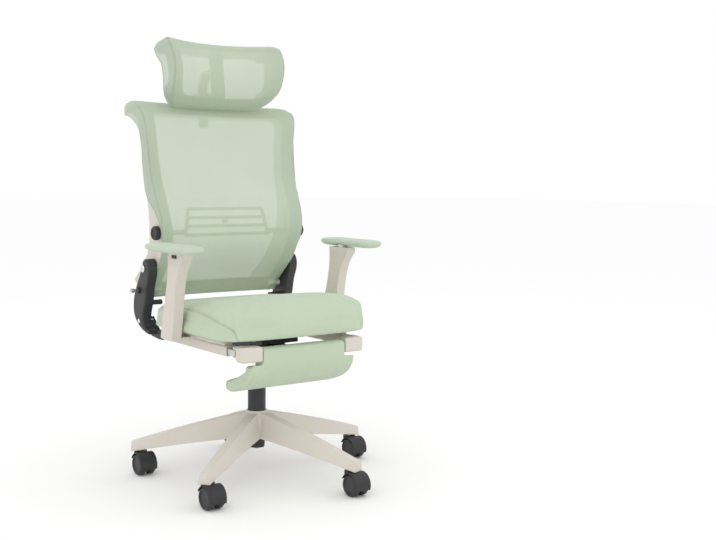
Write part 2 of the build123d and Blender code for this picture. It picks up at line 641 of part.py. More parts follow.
def footrest_pad():
    """Upholstered calf pad, hooked back under the seat while it is stowed."""
    t = FOOT_PAD_THICKNESS
    front = BRACKET_FRONT
    drop_z = rail_z - FOOT_PAD_DROP
    outer = Spline([(front, rail_z - 30), (front - 14, rail_z - 66), (front - 62, rail_z - 98),
                    (130, drop_z - 2), (FOOT_PAD_TAIL + 8, drop_z)], tangents=[(0, -1), (-1, 0.06)])
    inner = Spline([(FOOT_PAD_TAIL, drop_z + t * 0.6), (120, drop_z + t), (front - 74, rail_z - 66),
                    (front - t - 12, rail_z - 30)], tangents=[(1, 0.03), (0.1, 1)])
    tip = ThreePointArc(outer @ 1, (FOOT_PAD_TAIL - 2, drop_z + 6), inner @ 0)
    body = make_face([outer, tip, inner, Line(inner @ 1, outer @ 0)])
    half = FOOT_PAD_WIDTH / 2
    solid = side_slab(body, -half, half)
    plan = Pos(0, -(front + FOOT_PAD_TAIL) / 2 - 20) * Rectangle(2 * half, front - FOOT_PAD_TAIL + 44)
    plan = fillet(plan.vertices().group_by(Axis.Y)[-1], 76)
    solid &= plan_slab(plan, 0, 1000)
    for side in (-1, 1):
        sweep = rod_x(FOOT_SWEEP, BRACKET_INNER - PAD_GAP, half + 5, FOOT_HINGE_FORE, rail_z)
        solid -= mirrored(sweep, side)
    tongue = rounded([(front, rail_z - 31), (front, rail_z + 8), (front - 8, rail_z + 14),
                      (front - 30, rail_z + 14), (front - t - 12, rail_z + 4), (front - t - 12, rail_z - 31)])
    solid += side_slab(tongue, -BRACKET_INNER + PAD_GAP, BRACKET_INNER - PAD_GAP)
    solid -= rod_x(HINGE_BAR_RADIUS + RUNNING_FIT, -half - 5, half + 5, FOOT_HINGE_FORE, rail_z)
    return solid


# ---- armrests ----
def leaning(face, x_low, x_high):
    """An outline drawn as (fore, along the sleeve), made solid between two values of X."""
    tilt = math.radians(SLEEVE_LEAN)
    plane = Plane(origin=(x_low, -SLEEVE_FORE, sleeve_low_z), x_dir=(0, -math.cos(tilt), -math.sin(tilt)),
                  z_dir=(-1, 0, 0))
    return extrude(plane * face, amount=x_high - x_low, dir=(1, 0, 0))


def armrest_bracket(side):
    """L bracket: a leg bolted under the seat and a socket that holds the inner post."""
    half = SLEEVE_THICKNESS / 2
    wide = SLEEVE_WIDTH / 2 + 3.5
    depth = BRACKET_RISE + PLATE_THICKNESS + 4.0
    socket = leaning(rounded([(-wide, -depth), (wide, -depth), (wide, 0), (-wide, 0)]),
                     sleeve_x - half, sleeve_x + half)
    socket &= block(0, 500, -200, 200, plate_low_z, 1000)
    leg_plan = rounded([(LEG_INNER, -52), (sleeve_x - half + 2, -16), (sleeve_x - half + 2, 38),
                        (LEG_INNER, 22)])
    leg = plan_slab(leg_plan, plate_low_z, shell_low_z)
    body = socket + leg
    body -= leaning(rounded([(-POST_WIDTH / 2, -depth + 8), (POST_WIDTH / 2, -depth + 8),
                             (POST_WIDTH / 2, 1), (-POST_WIDTH / 2, 1)]),
                    sleeve_x - POST_THICKNESS / 2, sleeve_x + POST_THICKNESS / 2)
    for x, fore in seat_bolt_places():
        body -= rod_z(BOLT_RADIUS, plate_low_z - 1, shell_low_z + 1, x=x, fore=fore)
    return mirrored(body, side)


def armrest_post(side):
    """Steel inner post on which the sleeve slides up and down."""
    depth = BRACKET_RISE + PLATE_THICKNESS + 4.0 - 8.0
    top = SLEEVE_LENGTH - 38.0
    half = POST_WIDTH / 2
    body = leaning(rounded([(-half, -depth), (half, -depth), (half, top), (-half, top)]),
                   sleeve_x - POST_THICKNESS / 2, sleeve_x + POST_THICKNESS / 2)
    for index in range(5):
        s = top - 16 - index * 14
        body -= leaning(Pos(0, s) * Circle(3.0), sleeve_x, sleeve_x + POST_THICKNESS)
    return mirrored(body, side)


def armrest_sleeve(side):
    """Height sleeve: hollow, flared under the pad, with the pad's pivot boss on top."""
    half = SLEEVE_WIDTH / 2
    flare = SLEEVE_FLARE / 2
    top = SLEEVE_LENGTH
    rear = Spline([(-half - 3.5, 0), (-half, 60), (-half, top - 60), (-flare + 4, top - 6)])
    front = Spline([(flare + 4, top - 6), (half, top - 60), (half, 60), (half + 3.5, 0)])
    outline = make_face([rear, Line(rear @ 1, (-flare + 4, top + 30)),
                         Line((-flare + 4, top + 30), (flare + 4, top + 30)),
                         Line((flare + 4, top + 30), front @ 0), front, Line(front @ 1, rear @ 0)])
    thick = SLEEVE_THICKNESS / 2
    body = leaning(outline, sleeve_x - thick, sleeve_x + thick)
    body &= block(0, 500, -200, 200, 0, sleeve_high_z)
    wide = POST_WIDTH / 2 + SLEEVE_FIT
    deep = POST_THICKNESS / 2 + SLEEVE_FIT
    body -= leaning(rounded([(-wide, -1), (wide, -1), (wide, top - 34), (-wide, top - 34)]),
                    sleeve_x - deep, sleeve_x + deep)
    body += rod_z(PIVOT_BOSS_RADIUS, sleeve_high_z - 2, sleeve_high_z + 8, x=sleeve_x, fore=ARMPAD_FORE - 8)
    body -= button_block(BUTTON_GAP, BUTTON_TRAVEL + BUTTON_GAP)
    return mirrored(body, side)


def button_block(gap, travel):
    """The height button's block; with a gap and a travel, the recess it sinks into."""
    outer = sleeve_x + SLEEVE_THICKNESS / 2 + BUTTON_PROUD
    return block(outer - BUTTON_DEPTH - travel, outer + travel, BUTTON_FORE - BUTTON_WIDTH / 2 - gap,
                 BUTTON_FORE + BUTTON_WIDTH / 2 + gap, button_low_z - gap, button_low_z + BUTTON_HEIGHT + gap)


def armrest_button(side):
    """Sprung button that frees the sleeve."""
    body = button_block(0, 0)
    body = fillet(body.edges().group_by(Axis.X)[-1], 1.5)
    return mirrored(body, side)


def armrest_pad(side):
    """Soft pad with round ends, dished below for its pivot."""
    bottom = sleeve_high_z + ARMPAD_GAP
    plan = SlotOverall(ARMPAD_LENGTH, ARMPAD_WIDTH, rotation=90)
    body = plan_slab(Pos(armpad_x, -ARMPAD_FORE) * plan, bottom, bottom + ARMPAD_THICKNESS)
    body = fillet(body.edges().group_by(Axis.Z)[-1], 5)
    body = chamfer(body.edges().group_by(Axis.Z)[0], 9, 14)
    body -= rod_z(PIVOT_BOSS_RADIUS + RUNNING_FIT, bottom - 1, bottom + 8 + ARMPAD_GAP,
                  x=sleeve_x, fore=ARMPAD_FORE - 8)
    return mirrored(body, side)


# ---- arms that carry the back ----
def back_arm(side):
    """Black arm from the yoke under the seat up to the fold pivot, with a stop lug."""
    x_low = ARM_INNER
    x_high = ARM_INNER + BACK_ARM_THICKNESS
    p = PIVOT_FORE
    z = pivot_z
    front = Spline([(p + 24, z + 14), (p + 27, z - 12), (p + 12, z - 52), (p + 3, z - 93),
                    (p - 9, z - 125), (p - 11, z - 150), (p + 24, z - 172)])
    rear = Spline([(p + 24, z - 183), (p - 33, z - 167), (p - 66, z - 138), (p - 70, z - 93),
                   (p - 41, z - 36), (p - 14, z + 12)])
    top = ThreePointArc(rear @ 1, (p + 6, z + 27), front @ 0)
    outline = make_face([front, Line(front @ 1, rear @ 0), rear, top])
    body = side_slab(outline, x_low, x_high)
    outer_edges = body.faces().sort_by(Axis.X)[-1].edges()
    body = fillet(outer_edges, 5)
    lug_fore = p - 28
    lug_z = z - BACK_BOTTOM - 16.0
    body += rod_x(7.0, ARM_INNER - 40, ARM_INNER + 2, lug_fore, lug_z)
    body += rod_x(2.3 * LOCK_PIN_RADIUS, x_high - 1, x_high + 5, *lock_place())
    body -= rod_x(PIVOT_PIN_RADIUS, 0, 500, p, z)
    body -= rod_x(LOCK_PIN_RADIUS + RUNNING_FIT, 0, 500, *lock_place())
    body -= arm_bolt_bore()
    return mirrored(body, side)


def lock_place():
    """Where the lock pins pass through the arms, as (fore, height)."""
    fore = PIVOT_FORE - LOCK_BACK * math.cos(lean) + LOCK_DROP * math.sin(lean)
    height = pivot_z - LOCK_DROP * math.cos(lean) - LOCK_BACK * math.sin(lean)
    return fore, height


def lock_pin(side):
    """Plunger that locks the back upright, shown drawn, with its pull knob."""
    outer = ARM_INNER + BACK_ARM_THICKNESS + 5.0
    body = rod_x(LOCK_PIN_RADIUS, ARM_INNER + 2.0, outer + LOCK_TRAVEL + 4, *lock_place())
    body += rod_x(1.6 * LOCK_PIN_RADIUS, outer + LOCK_TRAVEL + 0.5, outer + LOCK_TRAVEL + 9, *lock_place())
    return mirrored(body, side)


def pivot_bolts():
    """Chromed shoulder bolts through the arms into the back frame."""
    bolts = []
    outer = ARM_INNER + BACK_ARM_THICKNESS
    for side in (-1, 1):
        bolt = rod_x(PIVOT_PIN_RADIUS, ARM_INNER - 24, outer, PIVOT_FORE, pivot_z)
        bolt += rod_x(PIVOT_HEAD_RADIUS, outer, outer + 5, PIVOT_FORE, pivot_z)
        bolts.append(mirrored(bolt, side))
    return Compound(bolts)


def arm_bolt_bore():
    """Hole of the left arm's lower bolt, through the arm and into the yoke."""
    return rod_x(BOLT_RADIUS, ARM_INNER - ARM_BOLT_GRIP, 400, ARM_BOLT_FORE, seat_z + ARM_BOLT_RISE)


def arm_bolts():
    """Hexagon bolts that hold the arms to the yoke."""
    bolts = []
    for side in (-1, 1):
        place = Pos(ARM_INNER + BACK_ARM_THICKNESS, -ARM_BOLT_FORE, seat_z + ARM_BOLT_RISE)
        bolt = place * Rot(0, 90, 0) * hex_bolt(BACK_ARM_THICKNESS + ARM_BOLT_GRIP)
        bolts.append(mirrored(bolt, side))
    return Compound(bolts)


# ---- back: drawn upright in its own frame, X across, Y up the back, Z forward ----
def bowed(face, bow, reach):
    """A section drawn as (up, forward), swept round an upright axis in front of the back."""
    axis = Axis((0, 0, bow), (0, 1, 0))
    swing = math.degrees(math.asin(reach / bow)) + 3.0
    return revolve((Plane.YZ * face).rotate(axis, -swing), axis, 2 * swing)


def across(face, x_low, x_high):
    """An outline drawn as (up, forward), made solid between two values of X."""
    return extrude(Pos(x_low, 0, 0) * (Plane.YZ * face), amount=x_high - x_low, dir=(1, 0, 0))


def through(face, z_low, z_high):
    """An outline drawn as (X, up), made solid between two depths."""
    return extrude(Pos(0, 0, z_low) * face, amount=z_high - z_low, dir=(0, 0, 1))


def inset_curve(curve, amount, count=16):
    """The same curve moved sideways by a skin's thickness."""
    points = []
    for index in range(count + 1):
        t = index / count
        tangent = curve % t
        points.append(curve @ t + Vector(tangent.Y, -tangent.X) * amount)
    return Spline(points)


def shift_of(bow, reach):
    """How far a bowed section moves forward between the middle and the wing."""
    return bow - math.sqrt(bow * bow - reach * reach)


def back_front():
    """Side outline of the back's front face at the middle, from the bottom edge to the top roll."""
    d = shift_of(BACK_BOW, 240.0)
    top = BACK_HEIGHT
    return Spline([(-BACK_BOTTOM, -35 - d), (-26, 7 - d), (32, 60 - d), (KNOB_RISE, 85 - d), (168, 73 - d),
                   (236, 46 - d), (364, 29 - d), (top - 44, 22 - d), (top - 12, -12 - d), (top, -55 - d),
                   (top - 2, -78 - d)])


def side_line(low, high, inset=0.0):
    """Right-hand edge of the back between two heights, or a line inside it."""
    stations = [(-BACK_BOTTOM - 2, -21), (-44, -4), (0, 0), (50, 1), (KNOB_RISE, 8), (200, 14), (364, 21),
                (BACK_HEIGHT - 40, 30), (BACK_HEIGHT + 1, 38)]
    return [(lobe_half_width + x - inset, u) for u, x in stations if low <= u <= high]


def back_face(side, radius, groups):
    """A face symmetrical about X = 0 from its right-hand edge, with some corners rounded."""
    right = Spline(side)
    left = Spline([(-x, u) for x, u in side])
    face = make_face([right, left, Line(right @ 0, left @ 0), Line(right @ 1, left @ 1)])
    for group in groups:
        face = fillet(face.vertices().group_by(Axis.Y)[group], radius)
    return face


def back_outline():
    """Front outline of the back: lobes between the arms, wings widening to the top."""
    return back_face(side_line(-200, 600), 26, [-1])


def stem_slot(gap):
    """Upright slot for the headrest stem."""
    half_w = STEM_THICKNESS / 2 + gap
    half_x = STEM_WIDTH / 2 + gap
    hole = Pos(0, STEM_FORWARD) * Rectangle(2 * half_x, 2 * half_w)
    return extrude(Plane(origin=(0, 300, 0), x_dir=(1, 0, 0), z_dir=(0, -1, 0)) * hole, amount=-300)


def back_frame():
    """Ring frame bowed round the sitter, with pivot lobes, a rolled top and a lower crosspiece."""
    d = shift_of(BACK_BOW, 240.0)
    front = inset_curve(back_front(), MESH_THICKNESS)
    top = BACK_HEIGHT
    rear = Spline([(top - 36.5, -78 - d), (top - 39, -46 - d), (top - 56, -24 - d), (364, -14 - d),
                   (247, -5 - d), (130, 9 - d), (71, -8 - d), (1, -66 - d), (-34, -117 - d)])
    foot = Polyline((-34, -117 - d), (-66, -101 - d), (-BACK_BOTTOM + 1, -70 - d), front @ 0)
    profile = make_face([front, Line(front @ 1, rear @ 0), rear, *foot.edges()])
    outline = back_outline()
    window = back_face(side_line(-50, top - 38, BORDER), WINDOW_CORNER, [0, -1])
    ring = bowed(profile, BACK_BOW, lobe_half_width + 38)
    ring &= through(outline, -300, 300)
    ring -= through(window, -300, 300)
    lobe_inner = lobe_half_width - BORDER - 12
    ring -= Pos(0, -100, -d - 62 - 100) * Box(2 * lobe_inner, 200, 200)
    for side in (-1, 1):
        boss = across(Pos(-LOCK_DROP, -LOCK_BACK) * Circle(2.2 * LOCK_PIN_RADIUS), lobe_inner + 10, lobe_half_width)
        ring += mirrored(boss, side)
    ring -= Rot(0, 90, 0) * Cylinder(PIVOT_PIN_RADIUS + RUNNING_FIT, 600)
    ring -= Pos(0, -LOCK_DROP, -LOCK_BACK) * Rot(0, 90, 0) * Cylinder(LOCK_PIN_RADIUS + LOCK_FIT, 600)
    bore = Rot(0, 90, 0) * Cylinder(SPINDLE_RADIUS + RUNNING_FIT, 2 * SPINDLE_LENGTH + 2)
    for side in (-1, 1):
        ring -= Pos(side * (lobe_half_width + 8), KNOB_RISE, KNOB_FORWARD) * bore
        ring -= lumbar_groove(side)
    ring -= stem_slot(STEM_FIT)
    return ring


def back_mesh():
    """Stretched mesh over the front of the frame."""
    outer = back_front()
    inner = inset_curve(outer, MESH_THICKNESS)
    face = make_face([outer, inner, Line(outer @ 0, inner @ 0), Line(outer @ 1, inner @ 1)])
    skin = bowed(face, BACK_BOW, lobe_half_width + 38) & through(back_outline(), -300, 300)
    return skin - stem_slot(STEM_FIT)


# ---- lumbar support ----
def lumbar_line(u):
    """Forward place of the grille's front face at a height, at the middle of the back."""
    return 66.0 - 8.0 * (u - LUMBAR_LOW) / (LUMBAR_HIGH - LUMBAR_LOW) - shift_of(BACK_BOW, 240.0)


def lumbar_band(u_low, u_high, reach):
    """A strip of the grille, bowed like the back."""
    t = LUMBAR_THICKNESS
    face = rounded([(u_low, lumbar_line(u_low)), (u_high, lumbar_line(u_high)),
                    (u_high, lumbar_line(u_high) - t), (u_low, lumbar_line(u_low) - t)])
    return bowed(face, BACK_BOW, reach)


def lumbar_peg_forward():
    """Forward place of the guide pegs, where the bowed arms meet the limbs."""
    inner = lobe_half_width + 8 - BORDER
    return lumbar_line(KNOB_RISE) - LUMBAR_THICKNESS / 2 + shift_of(BACK_BOW, inner)


def lumbar_groove(side):
    """Groove in the limb's inner face along which a guide peg slides."""
    inner = lobe_half_width + 8 - BORDER
    slot = SlotCenterToCenter(LUMBAR_TRAVEL, 2 * (PEG_RADIUS + 0.35))
    path = Pos(KNOB_RISE, lumbar_peg_forward()) * Rot(0, 0, -LUMBAR_SLOPE) * Pos(LUMBAR_TRAVEL / 2, 0) * slot
    return mirrored(across(path, inner - 16, inner + 7), side)


def lumbar_grille():
    """Barred lumbar support behind the mesh, with side arms and guide pegs."""
    low_half = LUMBAR_LOW_WIDTH / 2
    high_half = LUMBAR_HIGH_WIDTH / 2
    inner = lobe_half_width + 8 - BORDER
    face = rounded([(-low_half, LUMBAR_LOW), (low_half, LUMBAR_LOW), (high_half, LUMBAR_HIGH),
                    (-high_half, LUMBAR_HIGH)], 5)
    face += Pos(0, KNOB_RISE) * Rectangle(2 * inner - 4, LUMBAR_ARM)
    pitch = (LUMBAR_HIGH - LUMBAR_LOW - LUMBAR_BAR) / (LUMBAR_BARS - 1)
    for index in range(LUMBAR_BARS - 1):
        low = LUMBAR_LOW + LUMBAR_BAR + index * pitch
        high = low + pitch - LUMBAR_BAR
        share = (low - LUMBAR_LOW) / (LUMBAR_HIGH - LUMBAR_LOW)
        half = low_half + (high_half - low_half) * share - LUMBAR_BAR
        face -= rounded([(-half, low), (half, low), (half - 3, high), (-half + 3, high)], 3)
    mid = LUMBAR_LOW + LUMBAR_BAR + 1.5 * pitch
    face += Pos(0, mid) * Circle(LUMBAR_BAR)
    grille = lumbar_band(LUMBAR_LOW, LUMBAR_HIGH, inner) & through(face, -200, 200)
    for side in (-1, 1):
        peg = Pos(side * (inner + 1), KNOB_RISE, lumbar_peg_forward())
        grille += peg * Rot(0, 90, 0) * Cylinder(PEG_RADIUS, PEG_LENGTH)
    return grille


def lumbar_knob(side):
    """Ridged hand knob on the side of the back, with its spindle."""
    face_x = lobe_half_width + 8 + LUMBAR_KNOB_STAND
    r = LUMBAR_KNOB_RADIUS
    w = LUMBAR_KNOB_WIDTH
    knob = turned([(0, 0), (r - 1.5, 0), (r, 2), (r, w - 3), (r - 3, w), (r - 6, w), (r - 8, w - 2), (0, w - 2)])
    for index in range(12):
        knob -= Rot(0, 0, index * 30) * Pos(r + 1.2, 0, w / 2) * Cylinder(2.4, 2 * w)
    knob += Pos(0, 0, 1 - SPINDLE_LENGTH / 2) * Cylinder(SPINDLE_RADIUS, SPINDLE_LENGTH)
    return mirrored(Pos(face_x, KNOB_RISE, KNOB_FORWARD) * Rot(0, 90, 0) * knob, side)


# ---- headrest: drawn in its own frame, hinge at the origin, X across, Y up, Z forward ----
def head_front():
    """Side outline of the headrest's front, from its lower edge to its upper rear edge."""
    d = shift_of(HEAD_BOW, 175.0)
    return Spline([(-107, 7 - d), (-95, 34 - d), (-78, 58 - d), (-46, 82 - d), (4, 94 - d), (50, 79 - d),
                   (74, 58 - d), (79, 28 - d), (73, 4 - d), (59, -12 - d)])


def head_outline(inset=0.0):
    """Front outline of the headrest, wide at the top; an inset gives its window."""
    half = HEAD_HALF_WIDTH - inset
    low = -HEAD_LOW + inset
    high = HEAD_HEIGHT - HEAD_LOW - inset
    face = rounded([(-half + 14, low), (half - 14, low), (half, high), (-half, high)])
    face = fillet(face.vertices().group_by(Axis.Y)[0], HEAD_LOW_CORNER - inset)
    return fillet(face.vertices().group_by(Axis.Y)[-1], HEAD_HIGH_CORNER - inset / 2)


def headrest_frame():
    """C-section ring with an upright centre bar and the ears of the tilt hinge."""
    d = shift_of(HEAD_BOW, 175.0)
    front = inset_curve(head_front(), MESH_THICKNESS)
    inner = Spline([(36, 11 - d), (32, 38 - d), (-5, 50 - d), (-50, 38 - d), (-54, 11 - d)])
    profile = make_face([front, Line(front @ 1, inner @ 0), inner, Line(inner @ 1, front @ 0)])
    outline = head_outline()
    window = head_outline(HEAD_BORDER)
    ring = bowed(profile, HEAD_BOW, HEAD_HALF_WIDTH) & through(outline, -200, 200)
    ring -= through(window, -200, 200)
    bar = rounded([(-94, -20), (-82, 3), (-66, 17), (62, 17), (62, 9), (-62, 9), (-76, -4), (-88, -24)])
    ring += across(bar, -HEAD_BAR_WIDTH / 2, HEAD_BAR_WIDTH / 2)
    for side in (-1, 1):
        ear = across(Circle(2 * HEAD_PIN_RADIUS) + Pos(0, 6) * Rectangle(4 * HEAD_PIN_RADIUS, 12), 9.6, 15)
        ring += mirrored(ear, side)
    ring -= Rot(0, 90, 0) * Cylinder(HEAD_PIN_RADIUS + RUNNING_FIT, 60)
    return ring


def headrest_mesh():
    """Stretched mesh over the headrest ring."""
    outer = head_front()
    inner = inset_curve(outer, MESH_THICKNESS)
    face = make_face([outer, inner, Line(outer @ 0, inner @ 0), Line(outer @ 1, inner @ 1)])
    return bowed(face, HEAD_BOW, HEAD_HALF_WIDTH) & through(head_outline(), -200, 200)


def headrest_arm():
    """Stem and curved arm that carry the headrest, in the frame of the back."""
    t = STEM_THICKNESS / 2
    u = HEAD_HINGE_RISE
    w = STEM_FORWARD
    outline = rounded([(STEM_FOOT, w - t), (u + t, w - t), (u + t, HEAD_HINGE_FORWARD),
                       (u - t, HEAD_HINGE_FORWARD), (u - t, w + t), (STEM_FOOT, w + t)])
    corners = outline.vertices()
    outline = fillet(corners.sort_by_distance((u + t, w - t))[:1], 52)
    corners = outline.vertices()
    outline = fillet(corners.sort_by_distance((u - t, w + t))[:1], 40)
    body = across(outline, -STEM_WIDTH / 2, STEM_WIDTH / 2)
    knuckle = Pos(u, HEAD_HINGE_FORWARD) * Circle(2 * HEAD_PIN_RADIUS - 0.5)
    body += across(knuckle, -9, 9)
    for side in (-1, 1):
        cut = Pos(u, HEAD_HINGE_FORWARD) * Rectangle(60, 26)
        body -= mirrored(across(cut, 9, 60), side)
    hinge = Pos(0, u, HEAD_HINGE_FORWARD) * Rot(0, 90, 0)
    return body - hinge * Cylinder(HEAD_PIN_RADIUS, 100)


def headrest_pin():
    """Steel pin of the headrest's tilt hinge."""
    return Rot(0, 90, 0) * Cylinder(HEAD_PIN_RADIUS, 30)


def headrest_block(under):
    """Guide block seated on the rolled top of the back, slotted for the stem."""
    top = BACK_HEIGHT + BLOCK_HEIGHT
    body = Pos(0, top - 35, STEM_FORWARD + 2) * Box(BLOCK_WIDTH, 70, 52)
    body = fillet(body.edges().filter_by(Axis.Y), 8)
    body = fillet(body.faces().sort_by(Axis.Y)[-1].edges(), 3)
    body -= stem_slot(STEM_FIT)
    for piece in under:
        body -= piece
    return body.solids().sort_by(Axis.Y)[-1]


# ---- assembly ----
def main():
    """Write every piece to its own file."""
    frame = back_frame()
    mesh = back_mesh()
    pieces = {
        "star_base": star_base(),
        "lift_column": lift_column(),
        "guide_bush": guide_bush(),
        "thrust_bearing": thrust_bearing(),
        "caster_stems": Compound([Pos(x, y) * caster_stem() for x, y in stem_places()]),
        "piston_rod": piston_rod(),
        "retaining_clip": retaining_clip(),
        "gas_cylinder": gas_cylinder(),
        "mechanism_housing": mechanism_housing(),
        "tilt_axle": tilt_axle(),
        "yoke": yoke(),
        "height_lever": height_lever(),
        "tension_knob": tension_knob(),
        "seat_bolts": seat_bolts(),
        "seat_shell": seat_shell(),
        "seat_cushion": seat_cushion(),
        "footrest_hinge_bar": footrest_hinge_bar(),
        "footrest_pad": footrest_pad(),
        "pivot_bolts": pivot_bolts(),
        "arm_bolts": arm_bolts(),
        "back_frame": back_place * frame,
        "back_mesh": back_place * mesh,
        "lumbar_grille": back_place * lumbar_grille(),
        "headrest_block": back_place * headrest_block([frame, mesh]),
        "headrest_arm": back_place * headrest_arm(),
        "headrest_pin": head_place * headrest_pin(),
        "headrest_frame": head_place * headrest_frame(),
        "headrest_mesh": head_place * headrest_mesh(),
    }
    for number, (x, y) in enumerate(stem_places(), start=1):
        pieces[f"caster_hood_{number}"] = Pos(x, y) * caster_hood()
        pieces[f"caster_wheels_{number}"] = Pos(x, y) * caster_wheels()
    for name, side in SIDES.items():
        pieces[f"footrest_channel_{name}"] = rail_channel(side)
        pieces[f"footrest_rail_{name}"] = footrest_rail(side)
        pieces[f"footrest_bracket_{name}"] = footrest_bracket(side)
        pieces[f"armrest_bracket_{name}"] = armrest_bracket(side)
        pieces[f"armrest_post_{name}"] = armrest_post(side)
        pieces[f"armrest_sleeve_{name}"] = armrest_sleeve(side)
        pieces[f"armrest_button_{name}"] = armrest_button(side)
        pieces[f"armrest_pad_{name}"] = armrest_pad(side)
        pieces[f"back_arm_{name}"] = back_arm(side)
        pieces[f"lock_pin_{name}"] = lock_pin(side)
        pieces[f"lumbar_knob_{name}"] = back_place * lumbar_knob(side)
    os.makedirs("parts", exist_ok=True)
    for name, piece in pieces.items():
        export_step(piece, f"parts/{name}.step")


main()
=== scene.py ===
import json
import math

import bmesh
import bpy
from bpy.props import FloatProperty, FloatVectorProperty, PointerProperty
from mathutils import Matrix, Vector
from mathutils.bvhtree import BVHTree

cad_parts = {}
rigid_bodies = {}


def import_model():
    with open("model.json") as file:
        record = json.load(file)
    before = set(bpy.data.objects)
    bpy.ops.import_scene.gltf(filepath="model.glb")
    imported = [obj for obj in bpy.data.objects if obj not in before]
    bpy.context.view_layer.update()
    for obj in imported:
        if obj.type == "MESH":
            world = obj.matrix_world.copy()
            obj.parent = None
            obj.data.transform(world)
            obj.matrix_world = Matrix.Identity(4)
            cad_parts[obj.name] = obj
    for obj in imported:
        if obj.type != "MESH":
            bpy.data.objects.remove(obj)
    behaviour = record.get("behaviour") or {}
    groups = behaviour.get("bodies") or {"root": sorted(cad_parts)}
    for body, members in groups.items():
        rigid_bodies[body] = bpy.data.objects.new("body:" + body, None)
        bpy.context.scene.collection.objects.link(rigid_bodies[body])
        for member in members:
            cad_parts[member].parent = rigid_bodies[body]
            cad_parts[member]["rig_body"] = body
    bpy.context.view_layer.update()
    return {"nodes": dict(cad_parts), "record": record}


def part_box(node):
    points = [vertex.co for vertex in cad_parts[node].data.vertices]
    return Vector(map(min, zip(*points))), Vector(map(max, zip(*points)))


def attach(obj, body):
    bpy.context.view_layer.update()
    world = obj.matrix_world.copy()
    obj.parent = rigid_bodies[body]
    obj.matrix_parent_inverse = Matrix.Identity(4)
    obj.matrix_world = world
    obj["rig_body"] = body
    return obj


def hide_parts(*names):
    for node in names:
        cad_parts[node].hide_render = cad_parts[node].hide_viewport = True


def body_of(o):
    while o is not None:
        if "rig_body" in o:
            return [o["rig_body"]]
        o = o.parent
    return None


bl_info = {
    "name": "Reclining Office Chair",
    "version": (1, 0, 0),
    "blender": (4, 5, 0),
    "location": "View3D > Sidebar > Chair",
    "description": "Upholstery, mesh, moulded plastic and metal for a reclining office chair",
    "category": "Object",
}

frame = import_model()
NODES = frame["nodes"]
SIDES = {"right": -1, "left": 1}
CASTERS = range(1, 6)

# Frames of the back and of the headrest: X across, Y up the back, Z towards the sitter. The back's
# starts at the pivot that it folds on, the headrest's at its hinge, given in the back's frame.
BACK_LEAN = math.radians(3)
HEAD_LEAN = math.radians(6)
FOLD_PIVOT = (0, 0.195, 0.5754)
HEAD_HINGE = (0, 0.5617, -0.014)
UP_BACK = Vector((0, math.sin(BACK_LEAN), math.cos(BACK_LEAN)))
FORWARD = Vector((0, -math.cos(BACK_LEAN), math.sin(BACK_LEAN)))
BACK_PLACE = Matrix.Translation(FOLD_PIVOT) @ Matrix((
    (1, 0, 0, 0),
    (0, UP_BACK.y, FORWARD.y, 0),
    (0, UP_BACK.z, FORWARD.z, 0),
    (0, 0, 0, 1)))
HEAD_PLACE = (BACK_PLACE @ Matrix.Translation(HEAD_HINGE)
              @ Matrix.Rotation(-HEAD_LEAN, 4, "X"))

# Meshing and sewing, in metres where they are lengths.
DOUBLES = 1e-6
CAD_DOUBLES = 1e-5
BEAD_RESOLUTION = 3
LANDING_REACH = 0.6
STITCH = 0.004
STITCH_GAP = 0.0022
THREAD_RADIUS = 0.0005
SEAM_RADIUS = 0.0011
BINDING_RADIUS = 0.0012

# The cloth simulation that stuffs the cushions and pads.
FOAM_FRAMES = 20
FOAM_PRESSURE = 4.0
FOAM_QUALITY = 5

# A stretched sheet's fit on its ring: how far off and how deep it looks for the ring, the step
# above which it tents over a bump instead of following it, its clearance over such a bump, the
# rounds and the pull that draw the tent flat, how deep it sinks into the ring's surface, and how
# many columns of its grid fold round each side.
PROBE = 0.04
PROBE_REACH = 0.05
TENT_STEP = 0.004
TENT_CLEARANCE = 0.0015
TENT_ROUNDS = 60
TENT_PULL = 0.9
SINK = 0.0006
FOLD_COLUMNS = 4


# ---- sizes and colours that a user would change ----
def colour(name, description, default):
    """A colour property."""
    return FloatVectorProperty(name=name, description=description, subtype="COLOR", size=3,
                               min=0.0, max=1.0, default=default)


def length(name, description, default):
    """A length property, in metres."""
    return FloatProperty(name=name, description=description, subtype="DISTANCE", unit="LENGTH",
                         min=0.0, default=default)


class ChairColours(bpy.types.PropertyGroup):
    """Colours of the chair's finishes."""

    cloth: colour("Cloth", "Woven cover of the seat and the footrest", (0.556, 0.66, 0.49))
    mesh: colour("Mesh", "Threads of the back's and the headrest's mesh", (0.55, 0.65, 0.50))
    pad: colour("Arm pads", "Soft skin of the arm pads", (0.53, 0.625, 0.49))
    pale: colour("Pale plastic", "Moulded plastic of the frame and the armrests",
                 (0.69, 0.64, 0.575))
    base: colour("Base plastic", "Moulded plastic of the five-arm base", (0.72, 0.67, 0.60))
    black: colour("Black", "Black plastic and black paint", (0.028, 0.028, 0.03))
    steel: colour("Steel", "Bright steel", (0.62, 0.62, 0.62))


class ChairSizes(bpy.types.PropertyGroup):
    """Sizes of the upholstery."""

    voxel: length("Voxel", "Cell of the padded pieces' meshes", 0.005)
    swell: length("Swell", "How far the foam may push its cover out", 0.006)
    crown: length("Crown", "How much lower the seat's sides are than its middle", 0.020)
    front_drop: length("Front drop", "How far the seat's front edge hangs over", 0.001)
    seam_depth: length("Seam depth", "How far a sewn seam draws the cover in", 0.0026)
    seam_width: length("Seam width", "Half the width of the hollow along a seam", 0.008)
    thread: length("Thread", "Pitch of the woven cover", 0.0016)
    mesh_pitch: length("Mesh pitch", "Distance between the mesh's openings", 0.0030)


